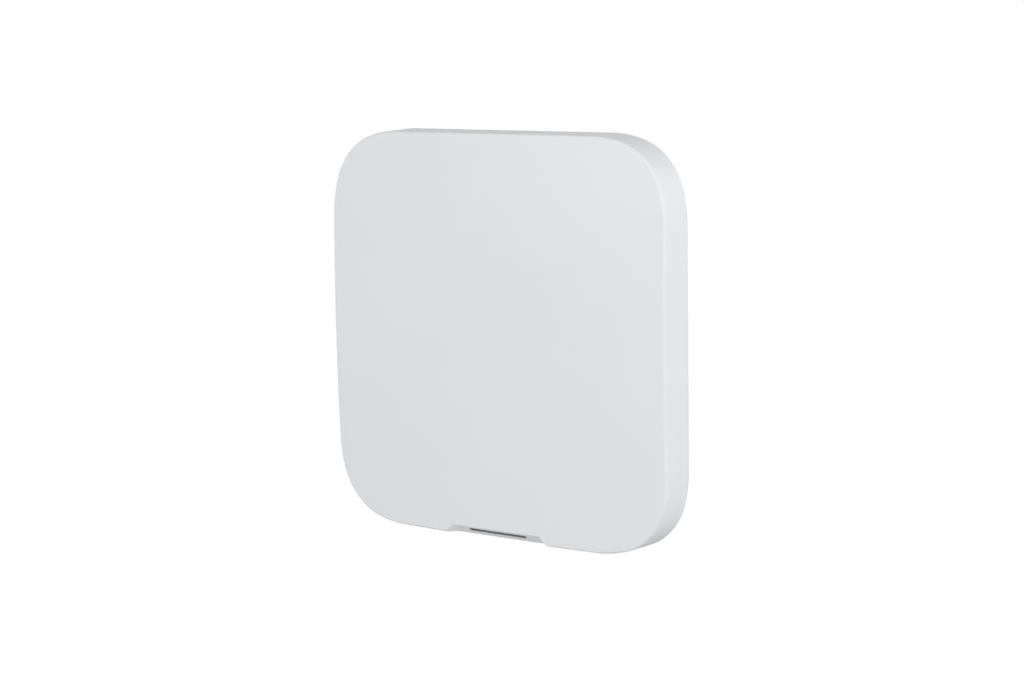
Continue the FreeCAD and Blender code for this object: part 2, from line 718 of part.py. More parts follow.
place("rib_left", "cover_rib_offset - cover_rib_thick / 2")
place("rib_right", "cover_rib_offset + cover_rib_thick / 2")
for sign in ("", "-"):
    for other in ("", "-"):
        near, far = sign + "(rib_left)", sign + "(rib_right)"
        inner, outer = other + "(rib_inner)", other + "(rib_outer)"
        rectangle(shape, near, far, inner, outer)
        rectangle(shape, inner, outer, near, far)
pad(cover, "ribs", shape, "cover_inside - flange_front - seat_gap + cover_front / 2")

# The scooped recess: a wedge of air that tapers to a sliver of itself at both ends
place("recess_angle", "atan(recess_rise / recess_run)")
place("beyond", "2 * edge_round")
sliver = "0.02"
scoop = cover.newObject("PartDesign::SubtractiveLoft", "recess")
sections = []
for index, (x, share) in enumerate((
    ("-recess_top_half - recess_end", sliver),
    ("-recess_top_half", "1"),
    ("recess_top_half", "1"),
    ("recess_top_half + recess_end", sliver),
)):
    section = sketch_on(cover, "recess_section_%d" % index, SIDE, x)
    run = "recess_run * %s" % share
    rise = "recess_rise * %s" % share
    polygon(section, [
        ("-total_depth - beyond", "-half_width - beyond"),
        ("-total_depth + %s * (1 + beyond / (%s))" % (run, rise), "-half_width - beyond"),
        ("-total_depth - beyond", "-half_width + %s * (1 + beyond / (%s))" % (rise, run)),
    ])
    sections.append(section)
scoop.Profile = sections[0]
scoop.Sections = sections[1:]
scoop.Ruled = True
scoop.Closed = False


def leaning_sketch(body, name, angle, depth, z):
    """A sketch through a line along X, whose y falls by the angle on its way back to the wall."""
    sketch = body.newObject("Sketcher::SketchObject", name)
    support = [face for face in body.Origin.OriginFeatures if face.Role == TOP][0]
    sketch.AttachmentSupport = [(support, "")]
    sketch.MapMode = "FlatFace"
    sketch.AttachmentOffset = FreeCAD.Placement(
        FreeCAD.Vector(), FreeCAD.Rotation(FreeCAD.Vector(1, 0, 0), -value(angle)))
    bind(sketch, ".AttachmentOffset.Rotation.Angle", "-(%s)" % angle)
    bind(sketch, ".AttachmentOffset.Base.y", "-(%s)" % depth)
    bind(sketch, ".AttachmentOffset.Base.z", z)
    return sketch


def slope_sketch(body, name, sink):
    """A sketch parallel to the recess's slope and sink behind it: y runs down the slope."""
    depth = "total_depth - (%s) * sin(recess_angle)" % sink
    z = "-half_width + recess_rise + (%s) * cos(recess_angle)" % sink
    return leaning_sketch(body, name, "recess_angle", depth, z)


def guide_sketch(body, name, along):
    """A sketch square to the light guide, at a distance along it from the middle of the lens's back."""
    depth = "guide_root_depth - (%s) * sin(guide_angle)" % along
    z = "guide_root_z + (%s) * cos(guide_angle)" % along
    return leaning_sketch(body, name, "guide_angle", depth, z)


def across(sketch, middle, half_length, thickness, room):
    """A long rectangle about a middle line of the sketch, with room all round."""
    rectangle(
        sketch,
        "-(%s) - (%s)" % (half_length, room),
        "(%s) + (%s)" % (half_length, room),
        "%s - (%s) / 2 - (%s)" % (middle, thickness, room),
        "%s + (%s) / 2 + (%s)" % (middle, thickness, room),
    )


place("light_middle", "light_offset + light_height / 2")
place("light_back", "light_sink + light_depth")
place("light_z", "-half_width + recess_rise - light_middle * sin(recess_angle)")
place("guide_root_z", "light_z + light_back * cos(recess_angle)")
place("guide_root_depth", "total_depth - light_middle * cos(recess_angle) - light_back * sin(recess_angle)")
place("guide_turn", "abs(recess_angle - guide_angle * 1 deg)")
place("guide_start", "(seat_gap + guide_thick / 2 * sin(guide_turn)) / cos(guide_turn)")
place("guide_drop", "guide_thick / 2 * sin(guide_angle)")
place("guide_end", "(board_low - led_gap - guide_drop - guide_root_z) / cos(guide_angle)")
place("guide_half", "light_length / 2 - guide_margin")
place("led_middle", "guide_root_depth - guide_end * sin(guide_angle)")
place("led_front", "max(2 * led_middle - board_front; board_front + led_least)")
shape = slope_sketch(cover, "light_slot_outline", "-light_depth")
across(shape, "light_middle", "light_length / 2", "light_height", "seat_gap")
pocket(cover, "light_slot", shape, "light_depth + light_back + seat_gap")
shape = guide_sketch(cover, "guide_slot_outline", "-light_depth / 4")
across(shape, "0", "guide_half", "guide_thick", "seat_gap")
pocket(cover, "guide_slot", shape, "light_house_reach + light_house_height")

lens = new_body("light_bar")
shape = slope_sketch(lens, "lens_outline", "light_sink")
across(shape, "light_middle", "light_length / 2", "light_height", "0")
pad(lens, "lens_block", shape, "light_depth")

guide = new_body("light_guide")
shape = guide_sketch(guide, "guide_outline", "guide_start")
across(shape, "0", "guide_half", "guide_thick", "0")
pad(guide, "guide_block", shape, "guide_end - guide_start")

# Rear housing: a shallow box under a flange, with a skirt round the bracket
housing = new_body("rear_housing")
shape = sketch_on(housing, "box_outline", FRONT, "housing_stand")
soft_square(shape, "housing_inset")
box = pad(housing, "box_block", shape, "flange_front - housing_stand")
doc.recompute()
edge = housing.newObject("PartDesign::Chamfer", "box_edge")
edge.Base = (box, [face_at(box, value("housing_stand"))])
bind(edge, "Size", "housing_bevel")
shape = sketch_on(housing, "flange_outline", FRONT, "flange_back")
soft_square(shape, "cover_wall + fit_gap")
pad(housing, "flange", shape, "flange_thick")
shape = sketch_on(housing, "box_hollow_outline", FRONT, "back_wall_inner")
soft_square(shape, "box_inset")
pocket(housing, "box_hollow", shape, "flange_front - back_wall_inner")
shape = sketch_on(housing, "skirt_hollow_outline", FRONT, "housing_stand")
soft_square(shape, "skirt_inset")
pocket(housing, "skirt_hollow", shape, "back_wall_outer - housing_stand")

# Connector bay, open to the back, and the cable exit below it
shape = sketch_on(housing, "bay_outline", FRONT, "back_wall_outer")
rectangle(shape, "-bay_half", "bay_half", "bay_bottom", "ceiling_inner")
pad(housing, "bay_block", shape, "floor_front - back_wall_outer")
place("box_bottom", "-half_width + housing_inset + housing_wall / 2")
shape = sketch_on(housing, "exit_block_outline", FRONT, "back_wall_outer")
rectangle(shape, "-exit_half - bay_wall", "exit_half + bay_wall", "box_bottom", "bay_bottom + bay_wall / 2")
pad(housing, "exit_block", shape, "exit_depth + bay_wall - back_wall_outer")
shape = sketch_on(housing, "bay_hollow_outline", FRONT, "housing_stand")
rectangle(shape, "-bay_half + bay_wall", "bay_half - bay_wall", "bay_bottom + bay_wall", "bay_top")
pocket(housing, "bay_hollow", shape, "floor_back - housing_stand")
shape = sketch_on(housing, "exit_outline", FRONT, "housing_stand - housing_bevel")
rectangle(shape, "-exit_half", "exit_half", "-half_width", "bay_bottom + 1.5 * bay_wall")
pocket(housing, "cable_exit", shape, "exit_depth - housing_stand + housing_bevel")

# Windows in the bay's ceiling for the sockets, card trays and buttons
place("power_half", "power_width / 2 + button_gap")
place("reset_half", "reset_width / 2 + button_gap")
place("socket_half", "card_socket_width / 2 + socket_gap")
place("jack_half", "jack_width / 2 + socket_gap")
place("inlet_half", "inlet_width / 2 + socket_gap")
shape = sketch_on(housing, "ceiling_outline", TOP, "bay_top - bay_wall")
windows = [
    ("jack_x", "jack_half", "board_back - jack_height - socket_gap"),
    ("inlet_x", "inlet_half", "board_back - inlet_height - socket_gap"),
    ("card_left_x", "socket_half", "board_back - card_socket_height - socket_gap"),
    ("card_right_x", "socket_half", "board_back - card_socket_height - socket_gap"),
]
for x, half, depth in windows:
    rectangle(shape, "%s - %s" % (x, half), "%s + %s" % (x, half), "-board_back", "-(%s)" % depth)
pocket(housing, "ceiling_windows", shape, "3 * bay_wall")
shape = sketch_on(housing, "button_windows_outline", TOP, "bay_top - bay_wall")
rectangle(
    shape,
    "power_x - power_half",
    "power_x + power_half",
    "-button_depth - power_tall / 2 - button_gap",
    "-button_depth + power_tall / 2 + button_gap",
)
circle(shape, "reset_x", "-button_depth", "reset_half")
pocket(housing, "button_windows", shape, "3 * bay_wall")

# Board posts, with pilot holes for the board screws
place("post_low_x", "(bay_half + half_width - box_inset) / 2")
place("post_low_z", "bay_top - post_low_drop")
place("post_high_z", "board_top - post_radius - post_margin")
place("post_left_x", "-board_half + post_radius + post_margin")
place("post_right_x", "board_split - board_gap / 2 - post_radius - post_margin")
place("post_ear_x", "board_ear_inner - post_radius - post_margin")
place("power_post_left_x", "board_split + board_gap / 2 + post_radius + post_margin")
place("power_post_right_x", "board_half - post_radius - post_margin")
place("power_post_low_z", "ceiling_inner + 2 * post_radius")
main_posts = [
    ("-(post_low_x)", "post_low_z"),
    ("post_low_x", "post_low_z"),
    ("post_left_x", "post_high_z"),
    ("post_right_x", "post_high_z"),
    ("post_ear_x", "post_ear_z"),
]
power_posts = [
    ("power_post_left_x", "post_high_z"),
    ("power_post_right_x", "post_high_z"),
    ("power_post_right_x", "power_post_low_z"),
]
shape = sketch_on(housing, "post_outline", FRONT, "back_wall_inner - housing_wall / 2")
for x, z in main_posts + power_posts:
    faceted(shape, x, z, "post_radius", BOSS_SIDES)
pad(housing, "posts", shape, "board_back - back_wall_inner + housing_wall / 2")
shape = sketch_on(housing, "post_pilot_outline", FRONT, "board_back - pilot_depth")
for x, z in main_posts + power_posts:
    faceted(shape, x, z, "screw_radius + seat_gap", SCREW_SIDES)
pocket(housing, "post_pilots", shape, "pilot_depth")
shape = sketch_on(housing, "flange_hole_outline", FRONT, "flange_back")
for x, z in cover_spots:
    faceted(shape, x, z, "screw_radius + screw_gap", SCREW_SIDES)
pocket(housing, "flange_holes", shape, "flange_thick")

# Slots that the bracket's hooks pass through
hooks = [
    ("hook_upper_x", "hook_upper_z"),
    ("-hook_upper_x", "hook_upper_z"),
    ("hook_lower_x", "hook_lower_z"),
    ("-hook_lower_x", "hook_lower_z"),
]
shape = sketch_on(housing, "hook_slot_outline", FRONT, "back_wall_outer")
for x, z in hooks:
    rectangle(
        shape,
        "%s - hook_width / 2 - hook_gap" % x,
        "%s + hook_width / 2 + hook_gap" % x,
        "%s - hook_stem - slide_travel - hook_gap" % z,
        "%s + hook_gap" % z,
    )
pocket(housing, "hook_slots", shape, "housing_wall")

# Guide sleeve and hole for the tamper plunger
place("sleeve_radius", "plunger_collar_radius + plunger_gap")
place("sleeve_front", "board_back - tact_height - spring_room - seat_gap")
shape = sketch_on(housing, "sleeve_outline", FRONT, "back_wall_inner - housing_wall / 2")
circle(shape, "plunger_x", "plunger_z", "sleeve_radius + sleeve_wall")
pad(housing, "sleeve", shape, "sleeve_front - back_wall_inner + housing_wall / 2")
shape = sketch_on(housing, "sleeve_bore_outline", FRONT, "back_wall_inner")
circle(shape, "plunger_x", "plunger_z", "sleeve_radius")
pocket(housing, "sleeve_bore", shape, "sleeve_front - back_wall_inner")
shape = sketch_on(housing, "plunger_hole_outline", FRONT, "back_wall_outer")
circle(shape, "plunger_x", "plunger_z", "plunger_radius + plunger_gap")
pocket(housing, "plunger_hole", shape, "housing_wall")

# Battery cradle ribs and the posts of the clip over the cells
place("cell_middle", "back_wall_inner + cell_stand + cell_radius")
place("cell_low_z", "cell_low + cell_radius")
place("cell_high_z", "cell_low_z + 2 * cell_radius + cell_gap")
place("cells_top", "cell_high_z + cell_radius")
place("clip_low_z", "cell_low - clip_margin")
place("clip_high_z", "cells_top + clip_margin")
place("clip_back", "cell_middle + cell_radius + seat_gap")
shape = sketch_on(housing, "cradle_outline", FRONT, "back_wall_inner - housing_wall / 2")
for sign in ("", "-"):
    rectangle(
        shape,
        "%scradle_x - cradle_thick / 2" % sign,
        "%scradle_x + cradle_thick / 2" % sign,
        "cell_low - cradle_margin",
        "cells_top + cradle_margin",
    )
pad(housing, "cradle", shape, "cell_middle - back_wall_inner + housing_wall / 2 - cradle_open")
shape = sketch_on(housing, "cradle_hollow_outline", SIDE, "-cradle_x - cradle_thick")
for z in ("cell_low_z", "cell_high_z"):
    circle(shape, "-(cell_middle)", z, "cell_radius + seat_gap")
pocket(housing, "cradle_hollow", shape, "2 * cradle_x + 2 * cradle_thick")
clip_posts = [("clip_x", "clip_low_z"), ("clip_x", "clip_high_z")]
shape = sketch_on(housing, "clip_post_outline", FRONT, "back_wall_inner - housing_wall / 2")
for x, z in clip_posts:
    faceted(shape, x, z, "clip_post", BOSS_SIDES)
pad(housing, "clip_post_block", shape, "clip_back - back_wall_inner + housing_wall / 2")
shape = sketch_on(housing, "clip_pilot_outline", FRONT, "clip_back - pilot_depth")
for x, z in clip_posts:
    faceted(shape, x, z, "screw_radius + seat_gap", SCREW_SIDES)
pocket(housing, "clip_pilots", shape, "pilot_depth")

# Wall bracket
bracket = new_body("wall_bracket")
place("bracket_half", "skirt_half - bracket_margin")
place("bracket_low", "-(skirt_half) + slide_travel + bracket_margin")
place("hook_back", "back_wall_inner + hook_gap")
place("hook_front", "hook_back + hook_lip_thick")
shape = sketch_on(bracket, "plate_outline", FRONT, "0")
rounded(shape, "-(bracket_half)", "bracket_half", "bracket_low", "bracket_half", "bracket_round")
plate = pad(bracket, "plate", shape, "bracket_thick")
shape = sketch_on(bracket, "window_outline", FRONT, "0")
rounded(shape, "-window_half", "window_half", "window_low", "window_high", "window_round")
pocket(bracket, "cable_window", shape, "bracket_thick")
for name, x, z in (("upper", "hook_upper_x", "hook_upper_z"), ("lower", "hook_lower_x", "hook_lower_z")):
    shape = sketch_on(bracket, name + "_hook_outline", SIDE, x + " - hook_width / 2")
    polygon(shape, [
        ("-bracket_thick / 2", "%s - hook_stem" % z),
        ("-(hook_front)", "%s - hook_stem" % z),
        ("-(hook_front)", "%s + hook_lip" % z),
        ("-(hook_back)", "%s + hook_lip" % z),
        ("-(hook_back)", z),
        ("-bracket_thick / 2", z),
    ])
    hook = pad(bracket, name + "_hook", shape, "hook_width")
    doc.recompute()
    other = bracket.newObject("PartDesign::Mirrored", name + "_hook_pair")
    other.Originals = [hook]
    other.MirrorPlane = ([face for face in bracket.Origin.OriginFeatures if face.Role == SIDE][0], [""])
    bracket.Tip = other

# Wall screw holes, countersunk from the front
place("wall_screw_high", "wall_screw_low + wall_screw_z")
place("tab_hole_z", "plunger_z - tab_hole_drop")
wall_spots = [
    ("wall_screw_x / 2", "wall_screw_low"),
    ("-wall_screw_x / 2", "wall_screw_low"),
    ("wall_screw_x / 2", "wall_screw_high"),
    ("-wall_screw_x / 2", "wall_screw_high"),
    ("plunger_x", "tab_hole_z"),
]
shape = sketch_on(bracket, "wall_hole_outline", FRONT, "0")
for x, z in wall_spots:
    circle(shape, x, z, "wall_hole_radius")
pocket(bracket, "wall_holes", shape, "bracket_thick")
shape = sketch_on(bracket, "wall_sink_outline", FRONT, "bracket_thick - wall_sink")
for x, z in wall_spots:
    circle(shape, x, z, "wall_hole_radius")
sinks = pocket(bracket, "wall_sinks", shape, "wall_sink")
sinks.TaperAngle = 45

# Ramp that lets the tamper plunger out as the panel is lifted
place("ramp_low", "plunger_z - ramp_reach")
place("ramp_high", "plunger_z + slide_travel + ramp_reach")
place("ramp_depth", "(ramp_high - ramp_low) * ramp_slope")
place("groove_high", "plunger_z + slide_travel + plunger_radius + 2 * hook_gap")
shape = sketch_on(bracket, "ramp_outline", SIDE, "plunger_x - plunger_radius - hook_gap")
polygon(shape, [
    ("-bracket_thick", "ramp_low"),
    ("-2 * bracket_thick", "ramp_low"),
    ("-2 * bracket_thick", "groove_high"),
    ("-bracket_thick + ramp_depth", "groove_high"),
    ("-bracket_thick + ramp_depth", "ramp_high"),
])
pocket(bracket, "ramp", shape, "2 * (plunger_radius + hook_gap)")

# Break-off tab: a panel held by thin bridges, screwed to the wall by itself
place("tab_slit_up", "(tab_high - tab_low - 2 * tab_bridge) / 3")
place("tab_slit_across", "(2 * tab_half - tab_bridge) / 2")
shape = sketch_on(bracket, "tab_slit_outline", FRONT, "0")
for turn in range(3):
    low = "tab_low + %d * (tab_slit_up + tab_bridge)" % turn
    for edge_x in ("plunger_x - tab_half", "plunger_x + tab_half - tab_slit"):
        rectangle(shape, edge_x, edge_x + " + tab_slit", low, low + " + tab_slit_up")
for turn in range(2):
    left = "plunger_x - tab_half + tab_slit + tab_bridge / 2 + %d * (tab_slit_across)" % turn
    right = left + " + tab_slit_across - tab_slit - tab_bridge"
    for edge_z in ("tab_low - tab_slit", "tab_high"):
        rectangle(shape, left, right, edge_z, edge_z + " + tab_slit")
pocket(bracket, "tab_slits", shape, "bracket_thick")

# Tamper plunger, turned about its own axis, which lies square to the wall
place("ramp_angle", "atan(ramp_slope)")
place("tip_lift", "tip_radius / cos(ramp_angle) - tip_radius")
place("tip_depth", "bracket_thick - ramp_slope * ramp_reach + tip_lift + ramp_room")
place("tip_height", "tip_radius - sqrt(tip_radius * tip_radius - plunger_radius * plunger_radius)")
place("collar_back", "back_wall_inner + plunger_travel + plunger_stop_room")
place("collar_front", "collar_back + plunger_collar_thick")
place("tact_back", "board_back - tact_height")
place("plunger_front", "tact_back - tact_stem - seat_gap")
plunger = new_body("tamper_plunger")
shape = sketch_on(plunger, "plunger_outline", SIDE, "plunger_x")
bind(shape, ".AttachmentOffset.Base.y", "plunger_z")
centre = FreeCAD.Vector(-value("tip_depth + tip_radius"), 0, 0)
turn_angle = math.asin(value("plunger_radius / tip_radius"))
ring = Part.Circle(centre, FreeCAD.Vector(0, 0, 1), value("tip_radius"))
run = [
    ("-(tip_depth) - tip_height", "plunger_radius"),
    ("-(collar_back)", "plunger_radius"),
    ("-(collar_back)", "plunger_collar_radius"),
    ("-(collar_front)", "plunger_collar_radius"),
    ("-(collar_front)", "plunger_radius"),
    ("-(plunger_front)", "plunger_radius"),
    ("-(plunger_front)", "0"),
    ("-(tip_depth)", "0"),
]
spots = [FreeCAD.Vector(value(x), value(y), 0) for x, y in run]
lines = [Part.LineSegment(spots[index], spots[index + 1]) for index in range(len(run) - 1)]
shape.addGeometry([Part.ArcOfCircle(ring, 0, turn_angle)] + lines, False)
rules = [plain("Coincident", index, 2, (index + 1) % len(run), 1) for index in range(len(run))]
rules.append(fix("DistanceX", 0, 1, "-(tip_depth)"))
rules.append(fix("DistanceY", 0, 1, "0"))
rules.append(fix("DistanceX", 0, 3, "-(tip_depth) - tip_radius"))
rules.append(fix("DistanceY", 0, 2, "plunger_radius"))
for index, (x, y) in enumerate(run[1:-1]):
    rules.append(fix("DistanceX", index + 2, 1, x))
    rules.append(fix("DistanceY", index + 2, 1, y))
hold(shape, rules)
turned = plunger.newObject("PartDesign::Revolution", "plunger_turned")
turned.Profile = shape
turned.ReferenceAxis = (shape, ["H_Axis"])
turned.Angle = 360

# Spring round the plunger, between its collar and the tamper switch
coil_start = "collar_front + spring_wire / 2 + seat_gap"
coil_end = "tact_back - spring_wire / 2 - seat_gap"
helix = doc.addObject("Part::Helix", "spring_path")
bind(helix, "Height", "(%s) - (%s)" % (coil_end, coil_start))
bind(helix, "Pitch", "((%s) - (%s)) / spring_turns" % (coil_end, coil_start))
bind(helix, "Radius", "spring_radius")
wire = doc.addObject("Part::RegularPolygon", "spring_section")
wire.Polygon = WIRE_SIDES
bind(wire, "Circumradius", "spring_wire / 2")
wire.Placement = FreeCAD.Placement(FreeCAD.Vector(), FreeCAD.Rotation(FreeCAD.Vector(1, 0, 0), 90))
bind(wire, "Placement.Base.x", "spring_radius")
spring = node("tamper_spring", doc.addObject("Part::Sweep", "tamper_spring"))
spring.Sections = [wire]
spring.Spine = helix
spring.Solid = True
spring.Frenet = True
spring.Placement = FreeCAD.Placement(FreeCAD.Vector(), FreeCAD.Rotation(FreeCAD.Vector(1, 0, 0), 90))
bind(spring, "Placement.Base.x", "plunger_x")
bind(spring, "Placement.Base.y", "-(%s)" % coil_start)
bind(spring, "Placement.Base.z", "plunger_z")
tact_body = centred(
    "tact_body", "plunger_x", "tact_side", "tact_back", "board_back", "plunger_z", "tact_side")
tact_stem = rod(
    "tact_stem", "plunger_x", "tact_back - tact_stem", "tact_back", "plunger_z", "stem_radius", PIN_SIDES)
node("tamper_switch", fused("tamper_switch", [tact_body, tact_stem]))


def button(label, x, travel, section, collar):
    """A sprung button in the bay's ceiling and the switch on the board that it presses.

    section and collar make the cap's and the stop collar's solids between two heights.
    """
    place(label + "_inner", "ceiling_inner + seat_gap + button_collar_thick")
    inner = label + "_inner"
    cap = section(label + "_cap", "bay_top - button_proud", inner)
    stop = collar(label + "_stop", "ceiling_inner + seat_gap", inner)
    seat_low = "%s - stem_seat - %s - button_gap" % (inner, travel)
    seat_high = inner + " + stem_seat"
    seat = upright(
        label + "_seat", x, "button_depth", seat_low, seat_high, "stem_radius + stem_gap", PIN_SIDES)
    node(label, cut_from(label, fused(label + "_outer", [cap, stop]), [seat]))
    low = "%s + %s + button_gap" % (inner, travel)
    base = block(
        label + "_switch_base",
        x + " - switch_width / 2",
        x + " + switch_width / 2",
        "board_back - switch_height",
        "board_back",
        low,
        low + " + switch_length",
    )
    stem = upright(
        label + "_stem", x, "button_depth", inner + " - stem_seat", low, "stem_radius", PIN_SIDES)
    switch = label.replace("button", "switch")
    node(switch, fused(switch, [base, stem]))


def power_section(name, z_low, z_high, grow="0"):
    half = "(power_width / 2 + %s)" % grow
    thick = "(power_tall / 2 + %s)" % grow
    sides = ["power_x - " + half, "power_x + " + half]
    depths = ["button_depth - " + thick, "button_depth + " + thick]
    return block(name, sides[0], sides[1], depths[0], depths[1], z_low, z_high)


def power_collar(name, z_low, z_high):
    return power_section(name, z_low, z_high, "button_collar")


def reset_section(name, z_low, z_high):
    return upright(name, "reset_x", "button_depth", z_low, z_high, "reset_width / 2")


def reset_collar(name, z_low, z_high):
    radius = "reset_width / 2 + button_collar"
    return upright(name, "reset_x", "button_depth", z_low, z_high, radius, CELL_SIDES)


button("power_button", "power_x", "power_travel", power_section, power_collar)
button("reset_button", "reset_x", "reset_travel", reset_section, reset_collar)

# Circuit boards
place("strip_top", "ceiling_inner - board_gap / 2")
place("power_low", "ceiling_inner + board_gap / 2")
place("split_left", "board_split - board_gap / 2")
place("split_right", "board_split + board_gap / 2")
board = new_body("main_board")
shape = sketch_on(board, "main_board_outline", FRONT, "board_back")
polygon(shape, [
    ("-board_half + board_corner", "board_low"),
    ("board_half - board_corner", "board_low"),
    ("board_half", "board_low + board_corner"),
    ("board_half", "strip_top"),
    ("split_left", "strip_top"),
    ("split_left", "board_top"),
    ("board_ear_inner", "board_top"),
    ("board_ear_inner", "board_ear_top"),
    ("-board_half + board_corner", "board_ear_top"),
    ("-board_half", "board_ear_top - board_corner"),
    ("-board_half", "board_low + board_corner"),
])
for x, z in main_posts:
    faceted(shape, x, z, "screw_radius + screw_gap", SCREW_SIDES)
pad(board, "main_board_plate", shape, "board_thick")
board = new_body("power_board")
shape = sketch_on(board, "power_board_outline", FRONT, "board_back")
rectangle(shape, "split_right", "board_half", "power_low", "board_top")
for x, z in power_posts:
    faceted(shape, x, z, "screw_radius + screw_gap", SCREW_SIDES)
pad(board, "power_board_plate", shape, "board_thick")

# What stands on the front of the main board
node("processor", centred(
    "processor", "processor_x", "processor_side", "board_front", "chip_top", "processor_z", "processor_side"))
sink_base = centred(
    "sink_base", "processor_x", "sink_side", "chip_top", "sink_plate", "processor_z", "sink_side")
fins = [sink_base]
for index in range(count("fin_count")):
    fin_x = "processor_x + (%d / (fin_count - 1) - 1 / 2) * (sink_side - fin_thick)" % index
    fins.append(centred(
        "fin_%d" % index, fin_x, "fin_thick", "sink_plate - seat_gap", "sink_top",
        "processor_z", "sink_side"))
node("heat_sink", fused("heat_sink", fins))

memory = []
for index, sign in enumerate(("-", "+")):
    chip_z = "memory_z %s (memory_tall + chip_gap) / 2" % sign
    memory.append(centred(
        "memory_%d" % index, "memory_x", "memory_width", "board_front", "board_front + memory_height",
        chip_z, "memory_tall"))
node("memory_chips", group("memory_chips", memory))
node("radio_shield", centred(
    "radio_shield", "radio_x", "radio_width", "board_front", "board_front + radio_height",
    "radio_z", "radio_tall"))
node("cellular_module", centred(
    "cellular_module", "radio_x", "cellular_width", "board_front", "board_front + cellular_height",
    "cellular_z", "cellular_tall"))
place("wifi_face", "board_front + wifi_base")
wifi_board = centred("wifi_base", "wifi_x", "wifi_width", "board_front", "wifi_face", "wifi_z", "wifi_tall")
wifi_can = block(
    "wifi_can",
    "wifi_x - wifi_width / 2 + wifi_can_margin",
    "wifi_x + wifi_width / 2 - wifi_can_margin",
    "wifi_face - seat_gap",
    "wifi_face + wifi_can",
    "wifi_z - wifi_tall / 2 + wifi_can_margin",
    "wifi_z + wifi_tall / 2 - wifi_aerial",
)
node("wifi_module", fused("wifi_module", [wifi_board, wifi_can]))

# Bent metal antennas: a strip held off the board by two feet
place("aerial_top", "board_front + aerial_height")
place("aerial_bottom", "aerial_top - aerial_metal")
left_parts = [centred(
    "left_strip", "aerial_left_x", "aerial_width", "aerial_bottom", "aerial_top",
    "aerial_left_low + aerial_length / 2", "aerial_length")]
right_parts = [centred(
    "right_strip", "aerial_right_start + aerial_length / 2", "aerial_length", "aerial_bottom", "aerial_top",
    "aerial_right_z", "aerial_width")]
for index, foot in enumerate(("aerial_metal / 2", "aerial_feed")):
    left_parts.append(centred(
        "left_foot_%d" % index, "aerial_left_x", "aerial_width", "board_front", "aerial_top",
        "aerial_left_low + " + foot, "aerial_metal"))
    right_parts.append(centred(
        "right_foot_%d" % index, "aerial_right_start + " + foot, "aerial_metal", "board_front", "aerial_top",
        "aerial_right_z", "aerial_width"))
node("left_antenna", fused("left_antenna", left_parts))
node("right_antenna", fused("right_antenna", right_parts))
node("cellular_antenna", centred(
    "cellular_antenna", "0", "patch_width", "cover_inside - patch_thick", "cover_inside",
    "patch_z", "patch_tall"))

# Indicator lights at the board's bottom edge, facing down into the light guide
lights = []
for index in range(count("led_count")):
    led_x = "(%d - (led_count - 1) / 2) * led_spacing" % index
    lights.append(centred(
        "led_%d" % index, led_x, "led_width", "board_front", "led_front",
        "board_low + led_tall / 2", "led_tall"))
node("indicator_lights", group("indicator_lights", lights))

# Clock cell in its holder, and the connectors
place("clock_seat", "board_front + clock_base")
ring_outer = rod(
    "clock_ring", "clock_x", "board_front", "clock_seat + clock_thick",
    "clock_z", "clock_radius + clock_wall", CELL_SIDES)
ring_inner = rod(
    "clock_well", "clock_x", "clock_seat", "clock_seat + 2 * clock_thick",
    "clock_z", "clock_radius + seat_gap", CELL_SIDES)
node("clock_cell_holder", cut_from("clock_cell_holder", ring_outer, [ring_inner]))
node("clock_cell", rod(
    "clock_cell", "clock_x", "clock_seat + seat_gap", "clock_seat + clock_thick + seat_gap",
    "clock_z", "clock_radius", CELL_SIDES))
node("battery_connector", centred(
    "battery_connector", "plug_x", "plug_width", "board_front", "board_front + plug_height",
    "plug_z", "plug_tall"))
node("power_link", centred(
    "power_link", "board_split", "link_width", "board_front", "board_front + link_height",
    "link_z", "link_tall"))

# Network jack: a box with a stepped port that opens down into the bay
place("jack_back", "board_back - jack_height")
place("port_front", "board_back - jack_low_wall")
place("port_back", "port_front - jack_port_height")
place("jack_end", "bay_top + jack_length")
place("port_end", "bay_top + jack_port_depth")
jack_block = centred(
    "jack_block", "jack_x", "jack_width", "jack_back", "board_back",
    "bay_top + jack_length / 2", "jack_length")
port = block(
    "jack_port", "jack_x - jack_width / 2 + jack_wall", "jack_x + jack_width / 2 - jack_wall",
    "port_back", "port_front", "bay_top - jack_wall", "port_end")
groove = centred(
    "jack_groove", "jack_x", "jack_latch_width", "port_back - jack_latch_height", "port_back + seat_gap",
    "bay_top + jack_port_depth / 2 - jack_wall / 2", "jack_port_depth + jack_wall")
node("ethernet_jack", cut_from("ethernet_jack", jack_block, [port, groove]))
contacts = []
for index in range(count("contact_count")):
    contact_x = "jack_x + (%d - (contact_count - 1) / 2) * contact_pitch" % index
    contacts.append(centred(
        "contact_%d" % index, contact_x, "contact_width", "port_front - contact_width", "port_front",
        "port_end - contact_length / 2", "contact_length"))
node("jack_contacts", group("jack_contacts", contacts))
node("ethernet_transformer", centred(
    "ethernet_transformer", "jack_x", "magnetics_width", "board_back - magnetics_height", "board_back",
    "magnetics_z", "magnetics_tall"))

